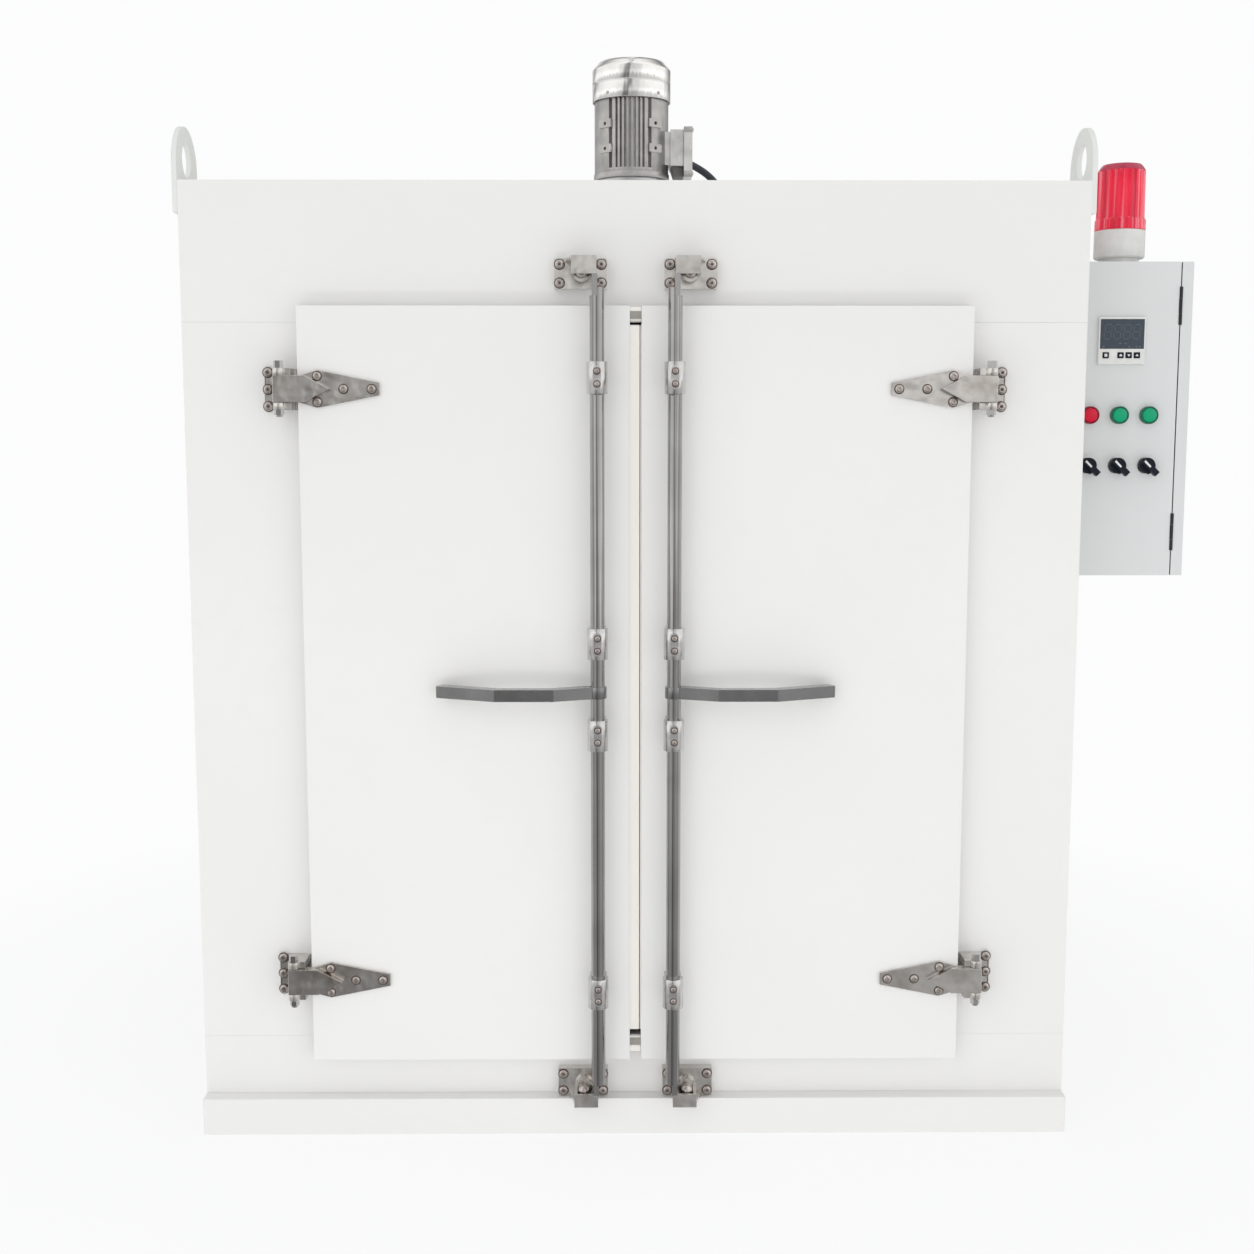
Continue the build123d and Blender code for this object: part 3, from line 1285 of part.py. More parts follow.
lens_low = base_top + 0.5
lens_flange = 17.0
lens_crown = 10.5
lens_high = lens_low + beacon_lens_height
with BuildPart() as beacon_lens:
    with BuildSketch(Plane.XZ):
        outline = [
            (0, lens_low),
            (beacon_base_radius, lens_low),
            (beacon_base_radius, lens_low + lens_flange),
            (beacon_lens_radius + 1, lens_low + lens_flange),
            (beacon_lens_radius, lens_high - lens_crown),
            (beacon_lens_radius - 8, lens_high),
            (0, lens_high),
        ]
        Polygon(*outline, align=None)
        inner = [
            (0, lens_low),
            (beacon_lens_radius - beacon_lens_wall, lens_low),
            (beacon_lens_radius - beacon_lens_wall, lens_high - lens_crown - 1),
            (beacon_lens_radius - 9 - beacon_lens_wall, lens_high - beacon_lens_wall),
            (0, lens_high - beacon_lens_wall),
        ]
        Polygon(*inner, align=None, mode=Mode.SUBTRACT)
    revolve(axis=Axis.Z)
beacon_lens.part = Pos(beacon_x, beacon_y, 0) * beacon_lens.part
save(beacon_lens, "beacon_lens")

with BuildPart() as beacon_reflector:
    low = base_top + 1.0
    centre = (beacon_x, beacon_y)
    bar((*centre, low), (0, 0, 1), 30, 3)
    bar((*centre, low + 3), (0, 0, 1), 28, 44)
    bar((*centre, low + 3), (0, 0, 1), 26, 45, Mode.SUBTRACT)
    block((beacon_x - 40, beacon_x + 40), (beacon_y - 40, beacon_y - 6), (low + 3, low + 60), Mode.SUBTRACT)
    bar((*centre, low - 1), (0, 0, 1), 7 + pin_clearance, 60, Mode.SUBTRACT)
save(beacon_reflector, "beacon_reflector")
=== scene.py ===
import json
import math

import bpy
from mathutils import Matrix, Vector


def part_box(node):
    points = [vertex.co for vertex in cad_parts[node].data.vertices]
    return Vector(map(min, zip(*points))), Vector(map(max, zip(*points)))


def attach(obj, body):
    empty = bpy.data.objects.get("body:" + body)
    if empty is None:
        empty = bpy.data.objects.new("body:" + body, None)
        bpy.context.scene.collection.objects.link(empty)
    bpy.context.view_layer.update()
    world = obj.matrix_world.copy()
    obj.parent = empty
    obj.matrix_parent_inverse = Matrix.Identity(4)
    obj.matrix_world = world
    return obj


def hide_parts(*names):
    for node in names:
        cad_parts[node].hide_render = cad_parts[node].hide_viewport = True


# Double-door heat treatment oven: finishes, fine detail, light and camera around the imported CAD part.
# Metres. The origin is on the floor under the middle of the cabinet, and the doors face -Y.

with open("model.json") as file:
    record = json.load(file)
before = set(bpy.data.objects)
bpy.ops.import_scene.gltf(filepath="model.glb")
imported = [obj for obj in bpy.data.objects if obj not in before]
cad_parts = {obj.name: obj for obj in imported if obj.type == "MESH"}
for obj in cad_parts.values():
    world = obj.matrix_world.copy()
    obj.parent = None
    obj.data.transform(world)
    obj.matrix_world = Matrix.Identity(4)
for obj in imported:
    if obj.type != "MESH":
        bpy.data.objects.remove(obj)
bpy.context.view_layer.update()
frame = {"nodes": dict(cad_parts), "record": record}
nodes = frame["nodes"]
record = frame["record"]
MM = 0.001

# Sizes shared with the CAD source, in millimetres
FRONT = -600.0
LEAF_FACE = -640.0
DOOR_BACK = -603.0
STRIP = (168.0, 1296.0)
GAP_ENDS = ((129.5, 154.5), (1303.5, 1323.5))
GAP_HALF = 8.6
PIN_X = 544.0
HINGE_HEIGHTS = (264.0, 1198.0)
ROD_X = 59.0
GUIDE_SEAT = -682.0
GUIDE_HEIGHTS = (252.0, 666.0, 809.0, 1214.0)
COLUMNS = (743.8, 792.0, 840.2)
PANEL_Y = -475.0
LAMP_HEIGHT = 1160.0
SELECTOR_HEIGHT = 1078.0
METER_FACE = -481.0
WINDOW_MIDDLE = 1290.7
KEY_MIDDLE = 1256.5
KEY_OFFSETS = (-26.0, -1.8, 11.4, 24.8)
KEY_PROUD = 1.0
KEEPER_FACE = -616.0
KEEPER_X = 84.5
KEEPER_HEIGHTS = (83.3, 1373.0)
KEEPER_SCREWS = (32.0, 14.0)
HINGE_BASE_FACE = -605.0
HINGE_SCREW_X = 568.0
HINGE_SCREWS = (-26.0, 0.0, 26.0)
BOX_HINGE = (887.0, -475.0)
BOX_HINGE_HEIGHTS = (969.0, 1336.0)
BOX_HINGE_LENGTH = 61.0
TERMINAL_LID_X = 97.2
MOTOR_FOOT = 1603.0
CABLE_RADIUS = 7.0


# Materials


def add_node(tree, kind, **values):
    """A new shader node, with the default values of its named inputs."""
    made = tree.nodes.new(kind)
    for key, value in values.items():
        made.inputs[key.replace("_", " ")].default_value = value
    return made


class Shader:
    """A Principled material under construction, with helpers that add procedural variation."""

    def __init__(self, name, color, rough, metallic=0.0):
        self.material = bpy.data.materials.new(name)
        self.material.use_nodes = True
        self.tree = self.material.node_tree
        self.link = self.tree.links.new
        self.out = self.tree.nodes["Principled BSDF"]
        self.color = color
        self.set(Base_Color=(*color, 1.0), Roughness=rough, Metallic=metallic)
        self.coords = add_node(self.tree, "ShaderNodeTexCoord")
        self.height = None

    def noise(self, scale, detail=3.0, stretch=(1.0, 1.0, 1.0), turn=(0.0, 0.0, 0.0)):
        """A noise texture in object space, finer along the axes with a larger stretch."""
        mapping = add_node(self.tree, "ShaderNodeMapping", Scale=stretch, Rotation=turn)
        texture = add_node(self.tree, "ShaderNodeTexNoise", Scale=scale, Detail=detail)
        self.link(self.coords.outputs["Object"], mapping.inputs["Vector"])
        self.link(mapping.outputs["Vector"], texture.inputs["Vector"])
        return texture.outputs["Fac"]

    def ranged(self, source, low, high, start=0.3, end=0.7):
        """Map a source value onto the range from low to high."""
        span = {"From_Min": start, "From_Max": end, "To_Min": low, "To_Max": high}
        node = add_node(self.tree, "ShaderNodeMapRange", **span)
        self.link(source, node.inputs["Value"])
        return node.outputs["Result"]

    def tone(self, source, other, amount=1.0, start=0.35, end=0.65):
        """Blend the base colour towards another colour where the source is high."""
        mix = self.tree.nodes.new("ShaderNodeMix")
        mix.data_type = "RGBA"
        base = self.out.inputs["Base Color"]
        if base.is_linked:
            self.link(base.links[0].from_socket, mix.inputs["A"])
        else:
            mix.inputs["A"].default_value = (*self.color, 1.0)
        mix.inputs["B"].default_value = (*other, 1.0)
        self.link(self.ranged(source, 0.0, amount, start, end), mix.inputs["Factor"])
        self.link(mix.outputs["Result"], base)

    def painted_top_light(self, other):
        """Painted light: another colour on the faces that look up, as if lit from above."""
        axes = add_node(self.tree, "ShaderNodeSeparateXYZ")
        self.link(self.coords.outputs["Normal"], axes.inputs["Vector"])
        self.tone(axes.outputs["Z"], other, 1.0, 0.4, 0.8)

    def rough(self, source, low, high):
        """Let the roughness wander between low and high."""
        self.link(self.ranged(source, low, high), self.out.inputs["Roughness"])

    def bump(self, source, strength, distance):
        """Add surface relief; several calls stack."""
        node = add_node(self.tree, "ShaderNodeBump", Strength=strength, Distance=distance)
        self.link(source, node.inputs["Height"])
        if self.height is not None:
            self.link(self.height, node.inputs["Normal"])
        self.height = node.outputs["Normal"]
        self.link(self.height, self.out.inputs["Normal"])

    def set(self, **values):
        """Set further sockets of the shader by name."""
        for key, value in values.items():
            self.out.inputs[key.replace("_", " ")].default_value = value


# Strength of the painted light on enamel: an emission that glows though it is no lamp
PAINTED_LIGHT_GLOW = 0.28


def scaled(color, factor):
    """A colour made darker or lighter."""
    return tuple(min(part * factor, 1.0) for part in color)


def enamel(name, color, peel=0.05, glow=None):
    """Stove enamel on sheet steel: satin, with orange peel and faint smudges. glow is painted light: an
    emission that lights it a little.
    """
    made = Shader(name, color, 0.4)
    made.tone(made.noise(1.6, 3.0), scaled(color, 0.972), 0.8)
    made.tone(made.noise(26.0, 4.0), scaled(color, 0.975), 0.5, 0.5, 0.75)
    made.rough(made.noise(9.0, 3.0), 0.40, 0.52)
    made.bump(made.noise(420.0, 1.5), peel, 0.0004)
    made.bump(made.noise(2.2, 1.0), 0.10, 0.0035)
    made.set(Specular_IOR_Level=0.28)
    if glow is not None:
        made.set(Emission_Color=(*glow, 1.0), Emission_Strength=PAINTED_LIGHT_GLOW)
    return made.material


def brushed(
    name,
    color,
    low,
    high,
    streak=(1.0, 1.0, 0.03),
    grain=0.06,
    stain=None,
    mottle=26.0,
    wavy=0.0,
    top=None,
):
    """Stainless steel with streaks along one axis, blotches, fine scratches and uneven flats.

    low and high bound the roughness. stain colours some blotches, and top paints light on the faces that
    look up.
    """
    made = Shader(name, color, (low + high) / 2, 1.0)
    made.tone(made.noise(mottle, 4.0), scaled(color, 0.84), 0.9)
    if stain is not None:
        made.tone(made.noise(mottle * 0.6, 3.0), stain, 0.55, 0.5, 0.72)
    if top is not None:
        made.painted_top_light(top)
    made.rough(made.noise(mottle * 1.4, 5.0), low, high)
    made.bump(made.noise(900.0, 2.0, streak), grain, 0.0002)
    made.bump(made.noise(mottle * 3.0, 2.0), grain, 0.0006)
    if wavy:
        made.bump(made.noise(42.0, 1.0), wavy, 0.003)
    return made.material


def moulded(name, color, low, high, grain=0.08, scale=900.0, shine=0.5):
    """Moulded plastic or rubber with a fine grain."""
    made = Shader(name, color, (low + high) / 2)
    made.tone(made.noise(60.0, 3.0), scaled(color, 0.86), 0.6)
    made.rough(made.noise(140.0, 3.0), low, high)
    made.bump(made.noise(scale, 2.0), grain, 0.0002)
    made.set(Specular_IOR_Level=shine)
    return made.material


def cast(name, color, low, high):
    """Die-cast metal with a pebbly skin and grime in patches."""
    made = Shader(name, color, (low + high) / 2, 0.82)
    made.tone(made.noise(38.0, 5.0), scaled(color, 0.72), 0.8, 0.42, 0.7)
    made.rough(made.noise(70.0, 4.0), low, high)
    made.bump(made.noise(650.0, 3.0), 0.25, 0.0004)
    return made.material


def lens(name, color, glow, low=0.12, high=0.24, clear=0.35, streak=None):
    """A coloured translucent cap. Where streak is given, upright painted highlights in that tone and darker
    upright painted shade, as on lit flutes.
    """
    made = Shader(name, color, low)
    made.tone(made.noise(300.0, 3.0), scaled(color, 0.8), 0.5)
    # Upright bands of painted shade, then of painted highlight
    if streak is not None:
        dark = made.noise(90.0, 2.0, (1.0, 1.0, 0.03), (0.0, 0.0, 0.7))
        made.tone(dark, scaled(color, 0.6), 0.8, 0.5, 0.66)
        made.tone(made.noise(150.0, 2.0, (1.0, 1.0, 0.02)), streak, 0.85, 0.50, 0.62)
    made.rough(made.noise(200.0, 2.0), low, high)
    made.bump(made.noise(1500.0, 1.0), 0.12, 0.0002)
    made.set(Transmission_Weight=clear, IOR=1.46, Specular_IOR_Level=0.35)
    made.set(Emission_Color=(*color, 1.0), Emission_Strength=glow)
    return made.material


def wool(name, color):
    """Mineral wool board."""
    made = Shader(name, color, 0.95)
    made.tone(made.noise(90.0, 6.0, (1.0, 1.0, 6.0)), scaled(color, 0.6), 0.9)
    made.rough(made.noise(50.0, 2.0), 0.88, 1.0)
    made.bump(made.noise(240.0, 6.0, (1.0, 1.0, 5.0)), 0.9, 0.003)
    return made.material


STEEL = (0.77, 0.75, 0.725)
POLISHED = (0.58, 0.57, 0.56)
BRIGHT = (0.90, 0.89, 0.875)
TARNISH = (0.42, 0.36, 0.32)
BEACON_RED = (0.92, 0.034, 0.090)
# The pale tone of the beacon's painted highlight streaks
BEACON_HIGHLIGHT = (0.98, 0.42, 0.50)
EVEN = (1.0, 1.0, 1.0)
ALONG_X = (0.03, 1.0, 1.0)
AROUND = (0.04, 0.04, 1.0)
materials = {
    "coated_steel": enamel("coated_steel", (0.855, 0.85, 0.835)),
    "coated_steel_grey": enamel("coated_steel_grey", (0.715, 0.73, 0.73)),
    "stainless_sheet": brushed("stainless_sheet", (0.60, 0.585, 0.56), 0.28, 0.42),
    "stainless_polished": brushed("stainless_polished", POLISHED, 0.12, 0.20, grain=0.03, mottle=14.0),
    "stainless_cast": brushed("stainless_cast", STEEL, 0.16, 0.30, EVEN, 0.10, TARNISH, wavy=0.55),
    "zinc_steel": brushed("zinc_steel", (0.62, 0.63, 0.64), 0.3, 0.45, EVEN),
    "mineral_wool": wool("mineral_wool", (0.62, 0.55, 0.36)),
    "gasket": moulded("gasket", (0.55, 0.53, 0.49), 0.7, 0.85, 0.3, 500.0),
    "cast_aluminium": cast("cast_aluminium", (0.50, 0.49, 0.48), 0.30, 0.46),
    "polished_aluminium": brushed("polished_aluminium", BRIGHT, 0.08, 0.15, AROUND, 0.03),
    "motor_core": cast("motor_core", (0.30, 0.29, 0.28), 0.5, 0.7),
    "black_plastic": moulded("black_plastic", (0.010, 0.014, 0.023), 0.35, 0.5, shine=0.18),
    "black_rubber": moulded("black_rubber", (0.030, 0.035, 0.046), 0.42, 0.58, 0.15),
    "grey_plastic": moulded("grey_plastic", (0.40, 0.42, 0.43), 0.4, 0.55),
    "light_plastic": moulded("light_plastic", (0.80, 0.80, 0.78), 0.3, 0.42, 0.04),
    "display": moulded("display", (0.040, 0.056, 0.076), 0.12, 0.2, 0.01),
    "red_lens": lens("red_lens", (0.72, 0.008, 0.045), 0.12),
    "green_lens": lens("green_lens", (0.002, 0.42, 0.205), 0.12),
    "beacon_lens": lens("beacon_lens", BEACON_RED, 0.13, 0.06, 0.14, 0.45, BEACON_HIGHLIGHT),
    "chrome": brushed("chrome", (0.80, 0.80, 0.80), 0.08, 0.16, grain=0.02),
}
digit_unlit = moulded("digit_unlit", (0.068, 0.090, 0.110), 0.25, 0.35, 0.02)
mark_white = moulded("mark_white", (0.80, 0.80, 0.79), 0.35, 0.5, 0.03)
mark_dim = moulded("mark_dim", (0.20, 0.23, 0.26), 0.35, 0.5, 0.03)
SCREW_STAIN = (0.30, 0.20, 0.18)
# A lighter tone on the handles' upper faces: painted light from above
HANDLE_TOP_LIGHT = (0.44, 0.44, 0.435)
screw_metal = brushed("screw_metal", (0.66, 0.60, 0.57), 0.2, 0.34, EVEN, stain=SCREW_STAIN, mottle=70.0)
handle_metal = brushed("handle_metal", (0.29, 0.29, 0.295), 0.2, 0.32, ALONG_X, 0.05, top=HANDLE_TOP_LIGHT)
rod_metal = brushed("rod_metal", (0.41, 0.405, 0.405), 0.07, 0.13, grain=0.03, mottle=14.0)
terminal_cast = cast("terminal_cast", (0.78, 0.775, 0.76), 0.34, 0.5)
guide_metal = brushed("guide_metal", (0.66, 0.655, 0.65), 0.12, 0.24, EVEN, 0.05, mottle=60.0, wavy=0.6)
# Near-black for the floors of screw sockets: painted shade
socket_painted_shade = moulded("socket_painted_shade", (0.15, 0.12, 0.105), 0.5, 0.7)
rim_dark = brushed("rim_dark", (0.20, 0.165, 0.15), 0.3, 0.5, EVEN, 0.1, (0.10, 0.08, 0.07), 60.0)
lug_paint = enamel("lug_paint", (0.80, 0.815, 0.785), 0.08)
hinge_line_shade = moulded("hinge_line_shade", (0.03, 0.03, 0.032), 0.55, 0.7, shine=0.3)
plug_dark_and_shade = cast("plug_dark_and_shade", (0.20, 0.195, 0.19), 0.45, 0.6)
red_rim = lens("red_rim", (0.30, 0.01, 0.02), 0.03)
green_rim = lens("green_rim", (0.01, 0.15, 0.085), 0.03)
# Paler than the enamel and glowing: painted light for the shaded gap between the doors
gap_painted_light = enamel("gap_painted_light", (0.93, 0.91, 0.875), glow=(0.93, 0.90, 0.85))
beacon_cap = lens("beacon_cap", (0.56, 0.055, 0.115), 0.08)

slot_of = {part["node"]: part["material_slot"] for part in record["subparts"]}
own_finish = {
    "lifting_lugs": lug_paint,
    "frame_screws": screw_metal,
    "left_handle": handle_metal,
    "right_handle": handle_metal,
    "left_lock_rod": rod_metal,
    "right_lock_rod": rod_metal,
    "terminal_box": terminal_cast,
    "left_rod_guides": guide_metal,
    "right_rod_guides": guide_metal,
}
for name, thing in nodes.items():
    finish = own_finish.get(name, materials[slot_of[name]])
    thing.data.materials.clear()
    thing.data.materials.append(finish)
    for face in thing.data.polygons:
        face.material_index = 0

# Edges of folded, sawn and cast pieces are rounded a little

WELD_REACH = 0.01
SHARP_FROM = 38
edge_radius = {
    "base_frame": 1.4,
    "left_door_skin": 0.9,
    "right_door_skin": 0.9,
    "control_box": 0.6,
    "control_box_door": 0.6,
    "lifting_lugs": 1.0,
    "rod_keepers": 1.2,
    "left_hinge_straps": 0.8,
    "right_hinge_straps": 0.8,
    "hinge_bases": 0.6,
    "hinge_pins": 0.6,
    "left_handle": 1.2,
    "right_handle": 1.2,
    "left_rod_guides": 0.8,
    "right_rod_guides": 0.8,
    "left_lock_rod": 0.6,
    "right_lock_rod": 0.6,
    "terminal_box": 1.2,
    "fan_cover": 0.6,
    "motor_housing": 0.5,
    "motor_stand": 0.8,
    "temperature_controller": 0.7,
    "panel_bezels": 0.5,
}
for name, radius in edge_radius.items():
    weld = nodes[name].modifiers.new("weld", "WELD")
    weld.merge_threshold = WELD_REACH * MM
    bevel = nodes[name].modifiers.new("edges", "BEVEL")
    bevel.width = radius * MM
    bevel.segments = 2
    bevel.limit_method = "ANGLE"
    bevel.angle_limit = math.radians(SHARP_FROM)
    bevel.harden_normals = True


# Mesh helpers: each returns vertices and faces in millimetres


def turned(profile, sides=32, shape=None):
    """Turn a profile of (radius, height) about +Z. shape(angle) scales the radius."""
    points, faces = [], []
    for radius, height in profile:
        for step in range(sides):
            angle = 2 * math.pi * step / sides
            reach = radius * (shape(angle) if shape else 1.0)
            points.append((reach * math.cos(angle), reach * math.sin(angle), height))
    for level in range(len(profile) - 1):
        for step in range(sides):
            one, two = level * sides + step, level * sides + (step + 1) % sides
            faces.append((one, two, two + sides, one + sides))
    return points, faces


def outline_bar(outline, low, high, edge=0.3):
    """A bar with the given outline about its middle, its ends chamfered by edge."""
    middle_x = sum(x for x, _ in outline) / len(outline)
    middle_y = sum(y for _, y in outline) / len(outline)
    points, faces = [], []
    count = len(outline)
    for height, inset in ((low, edge), (low + edge, 0.0), (high - edge, 0.0), (high, edge)):
        for x, y in outline:
            reach = math.hypot(x - middle_x, y - middle_y)
            share = max(reach - inset, 0.0) / reach
            points.append((middle_x + (x - middle_x) * share, middle_y + (y - middle_y) * share, height))
    for level in range(3):
        for step in range(count):
            one, two = level * count + step, level * count + (step + 1) % count
            faces.append((one, two, two + count, one + count))
    faces.append(tuple(range(count))[::-1])
    faces.append(tuple(range(3 * count, 4 * count)))
    return points, faces


def moved(shape, origin, direction=(0, 0, 1), spin=0.0):
    """Place a shape with its +Z along direction, turned by spin degrees about it."""
    points, faces = shape
    turn = Vector((0, 0, 1)).rotation_difference(Vector(direction)).to_matrix().to_4x4()
    place = Matrix.Translation(Vector(origin)) @ turn @ Matrix.Rotation(math.radians(spin), 4, "Z")
    return [tuple(place @ Vector(point)) for point in points], faces


def make(name, shapes, body, slot, material=None, smooth=35.0):
    """Join shapes into one piece that rides a body, with its material or the material of the slot."""
    points, faces = [], []
    for more_points, more_faces in shapes:
        base = len(points)
        points += [(x * MM, y * MM, z * MM) for x, y, z in more_points]
        faces += [tuple(base + index for index in face) for face in more_faces]
    mesh = bpy.data.meshes.new(name)
    mesh.from_pydata(points, [], faces)
    mesh.validate()
    mesh.polygons.foreach_set("use_smooth", [True] * len(mesh.polygons))
    mesh.set_sharp_from_angle(angle=math.radians(smooth))
    mesh.materials.append(material or materials[slot])
    thing = bpy.data.objects.new(name, mesh)
    bpy.context.scene.collection.objects.link(thing)
    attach(thing, body)
    return thing


def hexagon(angle):
    """Radius at an angle of a hexagon whose inscribed circle has radius one."""
    return 1.0 / math.cos((angle % (math.pi / 3)) - math.pi / 6)


# Profiles that reach the axis end at the radius CENTRE
CENTRE = 0.01
HEAD_SIDES = 24
DOME_SHARES = [(1.0, 0.0), (1.0, 0.3), (0.95, 0.55), (0.8, 0.82), (0.6, 1.0), (0.45, 1.0)]


def screw_head(radius, height):
    """A domed head with a hexagon socket, standing on z = 0."""
    points, faces = turned([(radius * out, height * up) for out, up in DOME_SHARES], HEAD_SIDES)
    socket = [(radius * 0.40, height), (radius * 0.38, height * 0.35), (CENTRE, height * 0.3)]
    deep_points, deep_faces = turned(socket, HEAD_SIDES, hexagon)
    base = len(points)
    rim = base - HEAD_SIDES
    faces += [tuple(base + index for index in face) for face in deep_faces]
    for step in range(HEAD_SIDES):
        on = (step + 1) % HEAD_SIDES
        faces.append((rim + step, rim + on, base + on, base + step))
    return points + deep_points, faces


def ring(inner, outer, height):
    """A flat washer standing on z = 0 with a sloped outer edge."""
    return turned([(inner, 0), (inner, height), (outer - height, height), (outer, 0)], 32)


FORWARD = (0, -1, 0)
OUTWARD = (1, 0, 0)
HANDS = ((-1, "left"), (1, "right"))

# Screws in the hinge straps and in the rod guides, the dark rims of the frame's screws, and painted shade
# in their sockets

STRAP_SCREWS = ((58.0, 19.5), (58.0, -19.5), (98.0, 0.0), (141.0, 0.0))
GUIDE_SCREWS = (-9.5, 9.5)
strap_head, strap_ring = screw_head(6.4, 4.2), ring(6.2, 7.9, 0.5)
guide_head, guide_ring = screw_head(4.2, 2.2), ring(4.1, 5.6, 0.4)
for side, hand in HANDS:
    heads, rims = [], []
    for height in HINGE_HEIGHTS:
        for out, up in STRAP_SCREWS:
            seat = (side * (PIN_X - out), LEAF_FACE, height + up)
            heads.append(moved(strap_head, seat, FORWARD, out))
            rims.append(moved(strap_ring, seat, FORWARD))
    make(f"{hand}_strap_screws", heads, f"{hand}_door", "stainless_polished", screw_metal)
    make(f"{hand}_strap_rims", rims, f"{hand}_door", "stainless_cast", rim_dark)
    heads, rims = [], []
    for height in GUIDE_HEIGHTS:
        for up in GUIDE_SCREWS:
            seat = (side * ROD_X, GUIDE_SEAT, height + up)
            heads.append(moved(guide_head, seat, FORWARD, up * 7))
            rims.append(moved(guide_ring, seat, FORWARD))
    make(f"{hand}_guide_screws", heads, f"{hand}_door", "stainless_polished", screw_metal)
    make(f"{hand}_guide_rims", rims, f"{hand}_door", "stainless_cast", rim_dark)

frame_seats = []
for side, _ in HANDS:
    for height in KEEPER_HEIGHTS:
        for dx in (-1, 1):
            for dz in (-1, 1):
                x = side * (KEEPER_X + dx * KEEPER_SCREWS[0])
                frame_seats.append((x, KEEPER_FACE, height + dz * KEEPER_SCREWS[1]))
    for height in HINGE_HEIGHTS:
        for dz in HINGE_SCREWS:
            frame_seats.append((side * HINGE_SCREW_X, HINGE_BASE_FACE, height + dz))
frame_ring = ring(6.9, 8.6, 0.6)
rims = [moved(frame_ring, seat, FORWARD) for seat in frame_seats]
make("frame_screw_rims", rims, "cabinet", "stainless_cast", rim_dark)
# Dark discs at the floor of each socket: painted shade in the hollow
socket = turned([(2.4, 2.05), (2.2, 2.2), (CENTRE, 2.25)], 6)
sockets = [moved(socket, seat, FORWARD) for seat in frame_seats]
make("frame_screw_socket_shade", sockets, "cabinet", "black_plastic", socket_painted_shade)

# Painted light: pale, faintly glowing faces on the strips that close the gap between the doors, and on the
# frame behind its ends, lightening gaps that lie in shade

PLATE_HALF = 0.25
PLATE_LIFT = 0.3


def painted_light_plate(left, right, low, high, face):
    """A thin plate with chamfered ends in front of a surface at y = face, that carries painted light."""
    outline = [(left, -PLATE_HALF), (right, -PLATE_HALF), (right, PLATE_HALF), (left, PLATE_HALF)]
    return moved(outline_bar(outline, low, high, 0.2), (0, face - PLATE_LIFT, 0))


for body, left, right in (("left_door", -GAP_HALF, 6.2), ("right_door", 7.8, 8.8)):
    plate = painted_light_plate(left, right, *STRIP, DOOR_BACK)
    make(f"{body}_strip_painted_light_face", [plate], body, "coated_steel", gap_painted_light)
plates = [painted_light_plate(-GAP_HALF, GAP_HALF, low, high, FRONT) for low, high in GAP_ENDS]
make("frame_gap_painted_light", plates, "cabinet", "coated_steel", gap_painted_light)

# Indicator lamps: a rim with a step, and a lighter dome inside it

LAMP_FOOT = PANEL_Y - 2.5
LAMP_SIDES = 48
lamp_rim = [(14.4, 0), (14.4, 7.9), (13.8, 8.9), (12.0, 8.9), (11.5, 7.6)]
lamp_dome = [(11.4, 7.6), (11.3, 9.4), (10.6, 10.7), (9.2, 11.7), (6.8, 12.5), (3.6, 12.9), (CENTRE, 13.0)]
rim_shape, dome_shape = turned(lamp_rim, LAMP_SIDES), turned(lamp_dome, LAMP_SIDES)
lamps = (
    ("red_lamp", "red_lens", "red_lamp_lens", COLUMNS[:1], red_rim),
    ("green_lamp", "green_lens", "green_lamp_lenses", COLUMNS[1:], green_rim),
)
for name, slot, stands_for, columns, rim in lamps:
    seats = [(x, LAMP_FOOT, LAMP_HEIGHT) for x in columns]
    cap = make(f"{name}_dome", [moved(dome_shape, seat, FORWARD) for seat in seats], "cabinet", slot)
    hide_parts(stands_for)
    make(f"{name}_rim", [moved(rim_shape, seat, FORWARD) for seat in seats], "cabinet", slot, rim)

# Selector switches: a white pointer line on each knob

pointer = [(-11.0, -1.3), (-10.2, -1.7), (2.2, -1.5), (2.8, -1.0)]
pointer += [(2.8, 1.0), (2.2, 1.5), (-10.2, 1.7), (-11.0, 1.3)]
KNOB_FACE = PANEL_Y - 19.5
POINTER_TURN = -45
for x, place in zip(COLUMNS, ("left", "middle", "right")):
    seat = (x, KNOB_FACE, SELECTOR_HEIGHT)
    line = moved(outline_bar(pointer, -0.1, 0.35, 0.12), seat, FORWARD, POINTER_TURN)
    make(f"selector_mark_{place}", [line], f"selector_{place}", "light_plastic", mark_white)

# Controller: unlit seven-segment figures, small index marks and the key signs

# Each segment's middle as shares of half a figure's width and height, and whether it is upright
SEGMENTS = ((0, 1, 0), (1, 0.5, 1), (1, -0.5, 1), (0, -1, 0), (-1, -0.5, 1), (-1, 0.5, 1), (0, 0, 0))
GLASS = METER_FACE + 0.22


def segment(length, width):
    """The outline of one segment, lying along X."""
    half, side = length / 2, width / 2
    inner = half - side
    return [(-half, 0), (-inner, -side), (inner, -side), (half, 0), (inner, side), (-inner, side)]


